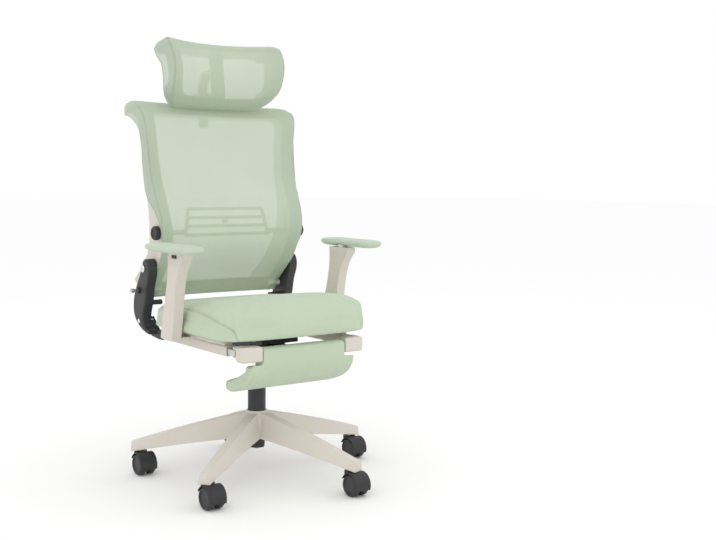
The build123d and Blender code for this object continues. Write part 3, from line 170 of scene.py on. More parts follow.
class ChairStudio(bpy.types.PropertyGroup):
    """Floor and lamps."""

    floor: colour("Floor", "Colour of the floor", (0.93, 0.93, 0.93))
    sky: FloatProperty(name="Sky", description="Strength of the even light", default=0.98, min=0.0)
    key: FloatProperty(name="Key", description="Power of the key lamp", default=16.0, min=0.0,
                       unit="POWER")
    fill: FloatProperty(name="Fill", description="Power of the fill lamp", default=5.0, min=0.0,
                        unit="POWER")


# ---- node trees ----
class Wire:
    """A socket of a node tree. Its operators add Math nodes, so they are for numbers."""

    def __init__(self, finish, socket):
        self.finish = finish
        self.socket = socket

    def math(self, operation, *values):
        return self.finish.node("ShaderNodeMath", {"operation": operation}, dict(enumerate(values)))

    def of(self, name):
        """Another socket of the same node."""
        return Wire(self.finish, self.socket.node.outputs[name])

    def __add__(self, other):
        return self.math("ADD", self, other)

    def __radd__(self, other):
        return self.math("ADD", other, self)

    def __sub__(self, other):
        return self.math("SUBTRACT", self, other)

    def __rsub__(self, other):
        return self.math("SUBTRACT", other, self)

    def __mul__(self, other):
        return self.math("MULTIPLY", self, other)

    def __rmul__(self, other):
        return self.math("MULTIPLY", other, self)

    def __abs__(self):
        return self.math("ABSOLUTE", self)

    def __gt__(self, other):
        return self.math("GREATER_THAN", self, other)

    def cosine(self):
        return self.math("COSINE", self)

    def larger(self, other):
        return self.math("MAXIMUM", self, other)

    def between(self, low, high):
        """0 below low, 1 above high, smooth between them."""
        return self.finish.node("ShaderNodeMapRange", {"interpolation_type": "SMOOTHSTEP"},
                                {"Value": self, "From Min": low, "From Max": high})


class Finish:
    """One material, built up node by node."""

    def __init__(self, name, tree=None):
        self.material = None
        if tree is None:
            self.material = bpy.data.materials.new(name)
            self.material.use_nodes = True
        self.tree = tree or self.material.node_tree
        self.tree.nodes.clear()
        self.place = self.node("ShaderNodeTexCoord", output="Object")

    def node(self, kind, settings=None, inputs=None, output=0):
        """Adds a node: its settings first, then the values or links of its sockets."""
        made = self.tree.nodes.new(kind)
        for name, value in (settings or {}).items():
            setattr(made, name, value)
        for name, value in (inputs or {}).items():
            socket = made.inputs[name]
            if isinstance(value, Wire):
                self.tree.links.new(value.socket, socket)
            elif socket.type == "RGBA" and len(value) == 3:
                socket.default_value = (*value, 1.0)
            else:
                socket.default_value = value
        return Wire(self, made.outputs[output]) if made.outputs else None

    def noise(self, scale, detail=2.0):
        """Soft random value over the object."""
        return self.node("ShaderNodeTexNoise", None,
                         {"Vector": self.place, "Scale": scale, "Detail": detail})

    def parts(self, wire):
        """The three numbers of a vector."""
        made = self.tree.nodes.new("ShaderNodeSeparateXYZ")
        self.tree.links.new(wire.socket, made.inputs[0])
        return [Wire(self, socket) for socket in made.outputs]

    def mixed(self, share, first, second):
        """Colour between two colours."""
        return self.node("ShaderNodeMix", {"data_type": "RGBA"},
                         {0: share, 6: first, 7: second}, output=2)

    def seen(self):
        """1 for the rays that show the background to the camera, 0 for those that light."""
        path = self.node("ShaderNodeLightPath")
        return (path.of("Is Camera Ray").larger(path.of("Is Glossy Ray"))
                .larger(path.of("Is Transmission Ray")))

    def bump(self, height, depth, strength=1.0, under=None):
        """Normal of a relief."""
        inputs = {"Height": height, "Distance": depth, "Strength": strength}
        if under:
            inputs["Normal"] = under
        return self.node("ShaderNodeBump", None, inputs)

    def shaded(self, inputs):
        """Ends the tree in one Principled shader and returns the material."""
        shader = self.node("ShaderNodeBsdfPrincipled", None, inputs)
        self.node("ShaderNodeOutputMaterial", None, {"Surface": shader})
        return self.material


def scaled(tint, factor):
    """A colour made lighter or darker."""
    return tuple(min(1.0, part * factor) for part in tint)


def moulded(name, tint, roughness, grain=1100.0, edge=0.0012):
    """Moulded plastic: fine spark grain, soft edges rubbed paler, faint flow marks."""
    finish = Finish(name)
    flow = finish.noise(5.0, 3.0)
    dust = finish.noise(38.0, 4.0)
    spark = finish.noise(grain, 2.0)
    soft = finish.node("ShaderNodeBevel", {"samples": 4}, {"Radius": edge})
    true = finish.node("ShaderNodeNewGeometry", output="Normal")
    turn = finish.node("ShaderNodeVectorMath", {"operation": "DOT_PRODUCT"},
                       {0: soft, 1: true}, output="Value")
    rubbed = (1.0 - turn).between(0.01, 0.22)
    body = finish.mixed(flow.between(0.3, 0.7), scaled(tint, 0.965), scaled(tint, 1.02))
    body = finish.mixed(dust.between(0.55, 0.8) * 0.25, body, scaled(tint, 0.93))
    body = finish.mixed(rubbed * 0.35, body, scaled(tint, 1.12))
    return finish.shaded({
        "Base Color": body,
        "Roughness": roughness + 0.10 * dust - 0.08 * rubbed,
        "Normal": finish.bump(spark, 0.0002, 0.35, under=soft),
        "Specular IOR Level": 0.42,
    })


def painted(name, tint):
    """Black powder coat: orange peel, dull, with a few scuffs."""
    finish = Finish(name)
    peel = finish.noise(620.0, 2.0)
    scuff = finish.noise(46.0, 6.0).between(0.62, 0.74)
    soft = finish.node("ShaderNodeBevel", {"samples": 4}, {"Radius": 0.0012})
    return finish.shaded({
        "Base Color": finish.mixed(scuff * 0.5, tint, scaled(tint, 1.9)),
        "Roughness": 0.46 + 0.12 * scuff + 0.06 * peel,
        "Normal": finish.bump(peel, 0.00018, 0.5, under=soft),
    })


def polished(name, tint, roughness):
    """Bright metal: fine turning lines and finger marks in the gloss."""
    finish = Finish(name)
    _, _, z = finish.parts(finish.place)
    lines = finish.node("ShaderNodeTexNoise", {"noise_dimensions": "1D"},
                        {"W": z, "Scale": 2600.0, "Detail": 1.0})
    marks = finish.noise(60.0, 4.0).between(0.45, 0.7)
    return finish.shaded({
        "Base Color": finish.mixed(marks * 0.4, tint, scaled(tint, 0.9)),
        "Metallic": 1.0,
        "Roughness": roughness + 0.08 * marks + 0.04 * lines,
        "Normal": finish.bump(lines, 0.00002, 0.4),
    })


def rubber(name, tint):
    """Tyre and hub of a caster wheel: semi-gloss, dusty where it touches the floor."""
    finish = Finish(name)
    dust = finish.noise(90.0, 5.0)
    fine = finish.noise(900.0, 2.0)
    return finish.shaded({
        "Base Color": finish.mixed(dust.between(0.5, 0.8) * 0.5, tint, scaled(tint, 2.1)),
        "Roughness": 0.38 + 0.22 * dust,
        "Normal": finish.bump(fine, 0.00015, 0.4),
    })


def soft_skin(name, tint):
    """Foamed skin of the arm pads: close pebble grain, slightly worn on top."""
    finish = Finish(name)
    pebble = finish.node("ShaderNodeTexVoronoi", {"feature": "SMOOTH_F1"},
                         {"Vector": finish.place, "Scale": 950.0, "Smoothness": 0.6})
    wear = finish.noise(22.0, 4.0).between(0.4, 0.75)
    body = finish.mixed(wear * 0.5, tint, scaled(tint, 1.07))
    return finish.shaded({
        "Base Color": finish.mixed(pebble * 0.35, body, scaled(tint, 0.86)),
        "Roughness": 0.62 - 0.10 * wear,
        "Normal": finish.bump(pebble, 0.00022, 0.6),
        "Sheen Weight": 0.12,
    })


def woven(name, tint, pitch):
    """Plain-woven cover: warp and weft in relief, painted shade in the weave's hollows, heathered
    yarn, a soft bloom.
    """
    finish = Finish(name)
    x, y, z = finish.parts(finish.place)
    normal = finish.node("ShaderNodeTexCoord", output="Normal")
    nx, ny, nz = [abs(part) for part in finish.parts(normal)]
    faces_side = nx > ny.larger(nz)
    faces_up = nz > nx.larger(ny)
    across = x + (y - x) * faces_side
    along = z + (y - z) * faces_up
    turn = 2 * math.pi / pitch
    warp = (across * turn).cosine()
    weft = (along * turn).cosine()
    crossing = warp * weft
    yarn = (abs((across * (turn / 2)).cosine())
            .larger(abs((along * (turn / 2)).cosine())))
    heather = finish.noise(420.0, 3.0)
    broad = finish.noise(7.0, 3.0)
    body = finish.mixed(broad.between(0.3, 0.7), scaled(tint, 0.975), scaled(tint, 1.02))
    body = finish.mixed(heather.between(0.42, 0.66) * 0.35, body, scaled(tint, 0.86))
    # Painted shade: the colour is darker where the crossing threads' relief is low, in the weave's
    # hollows.
    body = finish.mixed(crossing.between(-1.0, 0.6),
                        finish.mixed(0.22, body, scaled(tint, 0.72)), body)
    return finish.shaded({
        "Base Color": body,
        "Roughness": 0.80 + 0.12 * heather,
        "Normal": finish.bump(crossing * 0.5 + yarn * 0.5 + heather * 0.3, 0.00035, 0.55),
        "Sheen Weight": 0.25,
        "Sheen Roughness": 0.5,
        "Specular IOR Level": 0.25,
    })


def open_mesh(name, tint, pitch):
    """Open elastic mesh: staggered holes between crossing threads, from the sheet's own map."""
    finish = Finish(name)
    across, along, _ = finish.parts(finish.node("ShaderNodeUVMap", {"uv_map": "flat"}))
    turn = 2 * math.pi / pitch
    hole = (across * turn).cosine() * (along * (turn * 0.8)).cosine()
    thread = finish.noise(700.0, 2.0)
    broad = finish.noise(6.0, 2.0)
    body = finish.mixed(broad.between(0.3, 0.7), scaled(tint, 0.97), scaled(tint, 1.03))
    body = finish.mixed(thread.between(0.4, 0.7) * 0.4, body, scaled(tint, 0.84))
    return finish.shaded({
        "Base Color": body,
        "Roughness": 0.72 + 0.1 * thread,
        "Alpha": 1.0 - hole.between(0.50, 0.70) * 0.96,
        "Normal": finish.bump(0.0 - hole, 0.0004, 0.5),
        "Sheen Weight": 0.2,
        "Specular IOR Level": 0.25,
    })


# ---- shared shapes ----
def linked(name, data):
    """A new object in the scene."""
    made = bpy.data.objects.new(name, data)
    bpy.context.scene.collection.objects.link(made)
    return made


def add(name, mesh, material, body):
    """A finished mesh as a piece that rides on a body."""
    piece = linked(name, mesh)
    mesh.materials.clear()
    mesh.materials.append(material)
    for face in mesh.polygons:
        face.use_smooth = True
    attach(piece, body)
    return piece


def mesh_of(name, work):
    """A mesh from a bmesh, merged and with its faces pointing outwards."""
    bmesh.ops.remove_doubles(work, verts=work.verts, dist=DOUBLES)
    bmesh.ops.recalc_face_normals(work, faces=work.faces)
    mesh = bpy.data.meshes.new(name)
    work.to_mesh(mesh)
    work.free()
    return mesh


def baked(piece):
    """The mesh of an object with its modifiers applied."""
    graph = bpy.context.evaluated_depsgraph_get()
    return bpy.data.meshes.new_from_object(piece.evaluated_get(graph), depsgraph=graph)


def socket_head(name, radius, height, socket, place):
    """A low domed head on the place's XY plane, with a hexagon socket along its Z axis."""
    sixth = math.pi / 6
    work = bmesh.new()
    bmesh.ops.create_cone(work, cap_ends=True, segments=36, radius1=radius, radius2=radius * 0.84,
                          depth=height)
    bmesh.ops.translate(work, verts=work.verts, vec=(0, 0, height / 2))
    work.faces.ensure_lookup_table()
    top = max(work.faces, key=lambda face: face.calc_center_median().z)
    bmesh.ops.inset_region(work, faces=[top], thickness=radius * 0.2)
    for corner in top.verts:
        angle = math.atan2(corner.co.y, corner.co.x) % (math.pi / 3) - sixth
        corner.co.xy = corner.co.xy.normalized() * (socket * math.cos(sixth) / math.cos(angle))
    sunk = bmesh.ops.extrude_discrete_faces(work, faces=[top])["faces"][0]
    bmesh.ops.translate(work, verts=sunk.verts, vec=(0, 0, -height * 0.8))
    rims = [edge for edge in work.edges
            if len(edge.link_faces) == 2 and edge.calc_face_angle() > 0.6]
    bmesh.ops.bevel(work, geom=rims, offset=radius * 0.035, affect="EDGES", segments=2,
                    profile=0.5, material=-1)
    bmesh.ops.transform(work, matrix=place, verts=work.verts)
    return mesh_of(name, work)


def trim_mesh(name, points, radius, closed=False):
    """A round trim that follows points."""
    curve = bpy.data.curves.new(name, "CURVE")
    curve.dimensions = "3D"
    curve.bevel_depth = radius
    curve.bevel_resolution = BEAD_RESOLUTION
    curve.use_fill_caps = not closed
    line = curve.splines.new("POLY")
    line.points.add(len(points) - 1)
    for target, point in zip(line.points, points):
        target.co = (*point, 1.0)
    line.use_cyclic_u = closed
    holder = linked(name, curve)
    mesh = baked(holder)
    bpy.data.objects.remove(holder)
    return mesh


def smooth_line(points, steps=10):
    """Points of a smooth line through the given ones."""
    ends = [points[0] * 2 - points[1], *points, points[-1] * 2 - points[-2]]
    line = []
    for a, b, c, d in zip(ends, ends[1:], ends[2:], ends[3:]):
        for step in range(steps):
            t = step / steps
            line.append(0.5 * (2 * b + (c - a) * t + (2 * a - 5 * b + 4 * c - d) * t * t
                               + (3 * b - a - 3 * c + d) * t ** 3))
    return [*line, points[-1].copy()]


def evenly(points, step):
    """The same line with points at an even distance."""
    line = [points[0]]
    for point in points[1:]:
        while (point - line[-1]).length >= step:
            line.append(line[-1] + (point - line[-1]).normalized() * step)
    return line


# ---- padded pieces ----
def merged_copy(node):
    """A CAD node's surface as one merged bmesh."""
    work = bmesh.new()
    work.from_mesh(NODES[node].data)
    bmesh.ops.remove_doubles(work, verts=work.verts, dist=CAD_DOUBLES)
    return work


def softened(name, node, voxel, rounds, shrink=0.0):
    """An object with a node's shape in even cells, smaller by shrink and rounded over."""
    low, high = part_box(node)
    size, middle = high - low, (low + high) / 2
    work = merged_copy(node)
    slimmer = Matrix.Diagonal([1 - 2 * shrink / part for part in size] + [1])
    place = Matrix.Translation(middle) @ slimmer @ Matrix.Translation(-middle)
    bmesh.ops.transform(work, matrix=place, verts=work.verts)
    holder = linked(name, mesh_of(name, work))
    remesh = holder.modifiers.new("cells", "REMESH")
    remesh.mode = "VOXEL"
    remesh.voxel_size = voxel
    mesh = baked(holder)
    holder.modifiers.clear()
    holder.data = mesh
    relaxed(mesh, rounds)
    return holder


def plumped(name, node, voxel, shrink, cap, held, rounds=2, shape=None):
    """A node's shape as stuffed cloth: softened, shaped, inflated and capped."""
    holder = softened(name, node, voxel, rounds, shrink)
    mesh = holder.data
    if shape:
        for point in mesh.vertices:
            point.co = shape(point.co.copy())
    inflated(holder, cap, held)
    bpy.data.objects.remove(holder)
    return mesh


def relaxed(mesh, rounds):
    """Evens out the steps that a voxel mesh leaves."""
    work = bmesh.new()
    work.from_mesh(mesh)
    for _ in range(rounds):
        bmesh.ops.smooth_vert(work, verts=work.verts, factor=0.5, use_axis_x=True,
                              use_axis_y=True, use_axis_z=True)
    work.to_mesh(mesh)
    work.free()


def inflated(holder, cap, held):
    """Cloth with air inside: every point moves by at most the cap, held ones not at all."""
    scene = bpy.context.scene
    mesh = holder.data
    start = [point.co.copy() for point in mesh.vertices]
    pinned = holder.vertex_groups.new(name="held")
    pinned.add([point.index for point in mesh.vertices if held(point.co)], 1.0, "REPLACE")
    cloth = holder.modifiers.new("foam", "CLOTH")
    cloth.settings.vertex_group_mass = "held"
    cloth.settings.use_pressure = True
    cloth.settings.uniform_pressure_force = FOAM_PRESSURE
    cloth.settings.effector_weights.gravity = 0.0
    cloth.settings.quality = FOAM_QUALITY
    cloth.point_cache.frame_start = 1
    cloth.point_cache.frame_end = FOAM_FRAMES
    for number in range(1, FOAM_FRAMES + 1):
        scene.frame_set(number)
    swollen = baked(holder)
    for point, old, new in zip(mesh.vertices, start, swollen.vertices):
        move = new.co - old
        if move.length > cap:
            move *= cap / move.length
        point.co = old + move
    holder.modifiers.clear()
    scene.frame_set(1)


def finer(mesh):
    """One subdivision, applied."""
    holder = linked(mesh.name, mesh)
    smooth = holder.modifiers.new("finer", "SUBSURF")
    smooth.levels = 1
    smooth.render_levels = 1
    fine = baked(holder)
    bpy.data.objects.remove(holder)
    return fine


def surface(*meshes):
    """Meshes as something to aim at."""
    work = bmesh.new()
    for mesh in meshes:
        work.from_mesh(mesh)
    tree = BVHTree.FromBMesh(work)
    work.free()
    return tree


def sewn(mesh, line, depth, width):
    """Draws the cover in along a line of points on it."""
    seam = BVHTree.FromPolygons(*ribbon(line), epsilon=0.0)
    shifts = []
    for point in mesh.vertices:
        near, _, _, gap = seam.find_nearest(point.co, width)
        if near is not None:
            shifts.append((point.index, (1 - (gap / width) ** 2) ** 2 * depth, point.normal.copy()))
    for index, shift, normal in shifts:
        mesh.vertices[index].co -= normal * shift
    mesh.update()


def ribbon(line):
    """Thin triangles along a line, for measuring a distance to it."""
    points = [tuple(point) for point in line]
    return points, [(index, index + 1, index) for index in range(len(points) - 1)]


def landed(tree, points, direction):
    """Points dropped onto a surface along a direction, without those that miss."""
    found = []
    for point in points:
        start = point - direction * LANDING_REACH
        hit, _, _, _ = tree.ray_cast(start, direction, 2 * LANDING_REACH)
        if hit is not None:
            found.append(hit)
    return found


def stitches(name, line, lift, material, body):
    """Short threads along a seam, each a small closed bead."""
    work = bmesh.new()
    points = evenly(line, STITCH + STITCH_GAP)
    for here, there in zip(points, points[1:]):
        ahead = (there - here).normalized()
        bead = bmesh.ops.create_cone(work, cap_ends=True, segments=6, radius1=THREAD_RADIUS,
                                     radius2=THREAD_RADIUS, depth=STITCH)
        turn = ahead.to_track_quat("Z", "Y").to_matrix().to_4x4()
        place = Matrix.Translation(here + lift) @ turn
        bmesh.ops.transform(work, matrix=place, verts=bead["verts"])
    return add(name, mesh_of(name, work), material, body)


def eased(share):
    """0 below 0, 1 above 1, smooth between them."""
    share = min(max(share, 0.0), 1.0)
    return share * share * (3 - 2 * share)


# ---- stretched sheets ----
def profile_line(points):
    """A side outline (up, forward) as a smooth line."""
    return smooth_line([Vector((0, up, forward)) for up, forward in points], 16)


def walk(line):
    """A function of a share of a line's length, giving place, outward direction and length so far;
    and the whole length."""
    lengths = [0.0]
    for a, b in zip(line, line[1:]):
        lengths.append(lengths[-1] + (b - a).length)

    def at(share):
        goal = share * lengths[-1]
        index = min(max(i for i, value in enumerate(lengths) if value <= goal), len(line) - 2)
        step = lengths[index + 1] - lengths[index]
        t = (goal - lengths[index]) / step
        tangent = (line[index + 1] - line[index]).normalized()
        return line[index].lerp(line[index + 1], t), Vector((0, -tangent.z, tangent.y)), goal

    return at, lengths[-1]


def half_width(sides, low, high, low_corner, high_corner):
    """A function that gives half the width of a rounded outline at a height."""
    line = smooth_line([Vector((x, up, 0)) for up, x in sides], 12)

    def straight(up):
        for a, b in zip(line, line[1:]):
            if a.y <= up <= b.y:
                return a.x + (b.x - a.x) * (up - a.y) / (b.y - a.y)
        return line[0].x if up < line[0].y else line[-1].x

    def at(up):
        up = min(max(up, low), high)
        for corner, centre, beyond in (
                (low_corner, low + low_corner, up < low + low_corner),
                (high_corner, high - high_corner, up > high - high_corner)):
            if corner and beyond:
                arc = math.sqrt(max(0.0, corner ** 2 - (up - centre) ** 2))
                return straight(centre) - corner + arc
        return straight(up)

    return at


def skin(name, nodes, place, bow, profile, half, edge, columns, rows):
    """Cloth stretched over a bowed ring and folded round its sides up to an edge line.

    It has a flat map, in metres. Returned with it: its area, its length and its rim."""
    at, reach = walk(profile_line(profile))
    edge_at, _ = walk(profile_line(edge))
    tree = surface(*(NODES[node].data for node in nodes))
    to_local = place.inverted()
    work = bmesh.new()
    flat = work.loops.layers.uv.new("flat")
    bmesh.ops.create_grid(work, x_segments=columns, y_segments=rows, size=1.0)
    level = 1 - 2 * FOLD_COLUMNS / columns
    where, lifts, normals = {}, {}, {}
    for point in work.verts:
        across, up_share = point.co.x, (point.co.y + 1) / 2
        middle, out, run = at(up_share)
        radius = bow - middle.z
        wide = half(middle.y)
        sign = 1 if across >= 0 else -1
        x = sign * wide * min(1.0, (abs(across) + 1e-6) / level)
        angle = math.asin(x / radius)
        spot = Vector((x, middle.y, bow - radius * math.cos(angle)))
        normal = Vector((-out.z * math.sin(angle), out.y, out.z * math.cos(angle)))
        hit, _, _, gap = tree.ray_cast(place @ (spot + normal * PROBE), place.to_3x3() @ -normal,
                                       PROBE_REACH)
        lift = PROBE - gap if hit else 0.0
        if lift > TENT_STEP:
            lifts[point] = lift + TENT_CLEARANCE
        local = spot + normal * ((lift if lift < TENT_STEP else 0.0) - SINK)
        local.x = x
        beyond = max(0.0, (abs(across) - level) / (1 - level))
        inward = (edge_at(up_share)[0] - middle) * beyond
        fold = inward.length
        if beyond:
            local += inward
            slack = 0.0012 * eased((local.y - 0.05) / 0.03)
            local.x = sign * (half(local.y) + 0.0010 + slack)
        point.co = local
        normals[point] = normal * (1 - beyond)
        where[point] = (radius * angle + sign * fold, run)
    for point, height in draped(work, lifts).items():
        point.co += normals[point] * height
    for face in work.faces:
        for corner in face.loops:
            corner[flat].uv = where[corner.vert]
    bmesh.ops.transform(work, matrix=place, verts=work.verts)
    mesh = bpy.data.meshes.new(name)
    bmesh.ops.recalc_face_normals(work, faces=work.faces)
    work.to_mesh(mesh)
    area = sum(face.calc_area() for face in work.faces)
    loop = rim_of(work)
    work.free()
    return mesh, area, reach, loop


def draped(work, lifts):
    """Heights of a cloth drawn tight over the given lifts: at least as high, and flat elsewhere."""
    heights = {point: lifts.get(point, 0.0) for point in work.verts}
    if not lifts:
        return heights
    for _ in range(TENT_ROUNDS):
        fresh = {}
        for point, height in heights.items():
            around = [heights[edge.other_vert(point)] for edge in point.link_edges]
            fresh[point] = max(lifts.get(point, 0.0), TENT_PULL * sum(around) / len(around))
        heights = fresh
    return heights


def rim_of(work):
    """The boundary of a grid as points in order."""
    last = next(edge for edge in work.edges if edge.is_boundary)
    first, here = last.verts
    loop = [first.co.copy(), here.co.copy()]
    while here is not first:
        last = next(edge for edge in here.link_edges if edge.is_boundary and edge is not last)
        here = last.other_vert(here)
        loop.append(here.co.copy())
    return loop[:-1]


# ---- finishes of the carried-over nodes ----
FINISHES = {}

SLOT_FINISH = {
    "base_plastic": "base", "beige_plastic": "pale", "back_plastic": "pale", "black_metal": "paint",
    "black_plastic": "black", "wheel_plastic": "wheel", "nylon": "black", "steel": "steel",
    "chrome": "chrome", "arm_pad": "pad", "seat_fabric": "cloth", "mesh_fabric": "mesh",
}


class CHAIR_OT_finishes(bpy.types.Operator):
    """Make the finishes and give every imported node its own."""

    bl_idname = "chair.finishes"
    bl_label = "Finishes"

    def execute(self, context):
        tints = context.scene.chair_colours
        sizes = context.scene.chair_sizes
        FINISHES.update({
            "pale": moulded("pale_plastic", tints.pale, 0.42),
            "base": moulded("base_plastic", tints.base, 0.46, 900.0, 0.0018),
            "black": moulded("black_plastic", tints.black, 0.44, 1300.0, 0.0008),
            "paint": painted("black_paint", tints.black),
            "wheel": rubber("wheel", tints.black),
            "steel": polished("steel", tints.steel, 0.26),
            "chrome": polished("chrome", scaled(tints.steel, 1.3), 0.10),
            "pad": soft_skin("pad_skin", tints.pad),
            "cloth": woven("woven_cover", tints.cloth, sizes.thread),
            "mesh": open_mesh("open_mesh", tints.mesh, sizes.mesh_pitch),
            "seam": woven("seam_thread", scaled(tints.cloth, 0.82), sizes.thread / 2),
        })
        slots = {part["node"]: part["material_slot"] for part in frame["record"]["subparts"]}
        for name, node in NODES.items():
            node.data.materials.clear()
            node.data.materials.append(FINISHES[SLOT_FINISH[slots[name]]])
        return {"FINISHED"}


# ---- upholstery ----
# The seat's side seam from rear to front, as (y, z).
SEAT_SEAM = ((0.176, 0.4680), (0.10, 0.4750), (0.0, 0.4810), (-0.08, 0.4810), (-0.145, 0.4740),
             (-0.188, 0.4620), (-0.214, 0.4440), (-0.222, 0.4200))


class CHAIR_OT_seat(bpy.types.Operator):
    """Make the upholstered seat with its side seams."""

    bl_idname = "chair.seat"
    bl_label = "Seat cushion"

    def execute(self, context):
        sizes = context.scene.chair_sizes
        low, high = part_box("seat_cushion")

        def shape(point):
            """Sides lower than the middle, front edge hanging over, front corners drawn in."""
            rise = (point.z - low.z) / (high.z - low.z)
            side = min(1.0, abs(point.x) / high.x)
            front = eased((-point.y - 0.15) / 0.09)
            hang = sizes.front_drop * front * (1 - rise) * (1 - side ** 6)
            point.z -= sizes.crown * side ** 4 * rise + hang
            point.x *= 1 - 0.045 * front * side ** 2
            point.y += front * (0.014 * side ** 4 - 0.006 * (1 - side ** 2))
            return point

        mesh = plumped("seat_cover", "seat_cushion", sizes.voxel, 0.0035, sizes.swell,
                       lambda point: point.z < low.z + 0.008, 9, shape)
        mesh = finer(mesh)
        for name, side in SIDES.items():
            tree = surface(mesh)
            inward = Vector((-side, 0, 0))
            path = [Vector((side * 0.3, y, z)) for y, z in SEAT_SEAM]
            line = landed(tree, evenly(smooth_line(path), 0.003), inward)
            sewn(mesh, line, sizes.seam_depth, sizes.seam_width)
            trim = landed(surface(mesh), line, inward)
            add(f"seat_seam_{name}", trim_mesh("seam", evenly(trim, 0.004), SEAM_RADIUS),
                FINISHES["seam"], "seat")
            threads = [point + Vector((0, 0, 0.0055)) for point in trim]
            stitches(f"seat_stitches_{name}", landed(surface(mesh), threads, inward),
                     Vector((side * 0.0003, 0, 0)), FINISHES["seam"], "seat")
        cover = add("seat_cover", mesh, FINISHES["cloth"], "seat")
        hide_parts("seat_cushion")
        return {"FINISHED"}


class CHAIR_OT_footrest(bpy.types.Operator):
    """Make the upholstered calf pad."""

    bl_idname = "chair.footrest"
    bl_label = "Footrest pad"

    def execute(self, context):
        sizes = context.scene.chair_sizes
        low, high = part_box("footrest_pad")
        mesh = plumped("footrest_cover", "footrest_pad", 0.004, 0.0015, 0.003,
                       lambda point: point.z > high.z - 0.03)
        cover = add("footrest_cover", finer(mesh), FINISHES["cloth"], "footrest_pad")
        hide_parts("footrest_pad")
        return {"FINISHED"}


class CHAIR_OT_brackets(bpy.types.Operator):
    """Round over the moulded corner brackets of the footrest."""

    bl_idname = "chair.brackets"
    bl_label = "Footrest brackets"

    def execute(self, context):
        for name in SIDES:
            node = f"footrest_bracket_{name}"
            holder = softened(f"footrest_corner_{name}", node, 0.0018, 12)
            mesh = holder.data
            bpy.data.objects.remove(holder)
            body = body_of(NODES[node])[0]
            corner = add(f"footrest_corner_{name}", mesh, FINISHES["pale"], body)
            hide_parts(node)
        return {"FINISHED"}


class CHAIR_OT_bolt_heads(bpy.types.Operator):
    """Give the bolts of the back arms their domed heads with a hexagon socket."""

    bl_idname = "chair.bolt_heads"
    bl_label = "Bolt heads"

    def execute(self, context):
        for node, radius in (("pivot_bolts", 0.0108), ("arm_bolts", 0.0058)):
            low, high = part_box(node)
            body = body_of(NODES[node])[0]
            for name, side in SIDES.items():
                at = Vector((side * (high.x - 0.0004), (low.y + high.y) / 2, (low.z + high.z) / 2))
                place = Matrix.Translation(at) @ Matrix.Rotation(side * math.pi / 2, 4, "Y")
                mesh = socket_head("head", radius, radius * 0.24, radius * 0.5, place)
                add(f"{node}_head_{name}", mesh, FINISHES["chrome"], body)
        return {"FINISHED"}


class CHAIR_OT_arm_pads(bpy.types.Operator):
    """Make the soft pads of the armrests."""

    bl_idname = "chair.arm_pads"
    bl_label = "Arm pads"

    def execute(self, context):
        for name in SIDES:
            node = f"armrest_pad_{name}"
            low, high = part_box(node)
            mesh = plumped(f"arm_pad_{name}", node, 0.004, 0.0012, 0.002,
                           lambda point, floor=low.z: point.z < floor + 0.006)
            cover = add(f"arm_pad_{name}", finer(mesh), FINISHES["pad"], f"armrest_pad_{name}")
            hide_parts(node)
        return {"FINISHED"}


# ---- mesh sheets ----
# A bow is the radius of the ring's curve across, and a shift how far that curve sets its sides
# forward. Profiles and edges are side outlines as (up, forward), sides are half widths as (up, x).
BACK_BOW = 0.850
BACK_SHIFT = BACK_BOW - math.sqrt(BACK_BOW ** 2 - 0.240 ** 2)
BACK_PROFILE = [(up, forward - BACK_SHIFT) for up, forward in (
    (-0.084, -0.035), (-0.026, 0.007), (0.032, 0.060), (0.098, 0.085), (0.168, 0.073), (0.236, 0.046),
    (0.364, 0.029), (0.428, 0.022), (0.460, -0.012), (0.472, -0.055), (0.470, -0.078))]
BACK_EDGE = [(up, forward - BACK_SHIFT) for up, forward in (
    (-0.088, -0.043), (-0.031, 0.001), (0.028, 0.053), (0.098, 0.077), (0.152, 0.052), (0.212, 0.002),
    (0.345, -0.010), (0.385, -0.014), (0.410, -0.030), (0.428, -0.056), (0.435, -0.080))]
BACK_SIDE = [(up, 0.219 + out) for up, out in (
    (-0.086, -0.010), (-0.044, -0.010), (0.0, 0.0), (0.050, 0.001), (0.098, 0.008), (0.200, 0.014),
    (0.364, 0.021), (0.432, 0.030), (0.473, 0.038))]
HEAD_BOW = 0.420
HEAD_SHIFT = HEAD_BOW - math.sqrt(HEAD_BOW ** 2 - 0.175 ** 2)
HEAD_PROFILE = [(up, forward - HEAD_SHIFT) for up, forward in (
    (-0.107, 0.007), (-0.095, 0.034), (-0.078, 0.058), (-0.046, 0.082), (0.004, 0.094), (0.050, 0.079),
    (0.074, 0.058), (0.079, 0.028), (0.073, 0.004), (0.059, -0.012))]
HEAD_EDGE = [(up, forward - HEAD_SHIFT) for up, forward in (
    (-0.106, 0.000), (-0.090, 0.004), (-0.066, 0.008), (-0.030, 0.012), (0.004, 0.012), (0.030, 0.006),
    (0.044, 0.000), (0.050, -0.004), (0.054, -0.008), (0.057, -0.013))]
HEAD_SIDE = [(-0.110, 0.169), (-0.046, 0.1737), (0.018, 0.1783), (0.082, 0.183)]


def add_sheet(name, node, built, body, width):
    """Adds a stretched sheet with the binding sewn round it."""
    mesh, area, reach, loop = built
    sheet = add(name, mesh, FINISHES["mesh"], body)
    rim = evenly([*loop, loop[0]], 0.005)
    binding = add(f"{name}_binding", trim_mesh("binding", rim, BINDING_RADIUS, True),
                  FINISHES["seam"], body)
    min(area, width * reach)
    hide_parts(node)


class CHAIR_OT_back_mesh(bpy.types.Operator):
    """Stretch the open mesh over the back's ring."""

    bl_idname = "chair.back_mesh"
    bl_label = "Back mesh"

    def execute(self, context):
        half = half_width(BACK_SIDE, -0.086, 0.473, 0.0, 0.026)
        built = skin("back_cover", ("back_mesh", "back_frame"), BACK_PLACE, BACK_BOW, BACK_PROFILE,
                     half, BACK_EDGE, 104, 120)
        add_sheet("back_cover", "back_mesh", built, "back", 0.56)
        return {"FINISHED"}


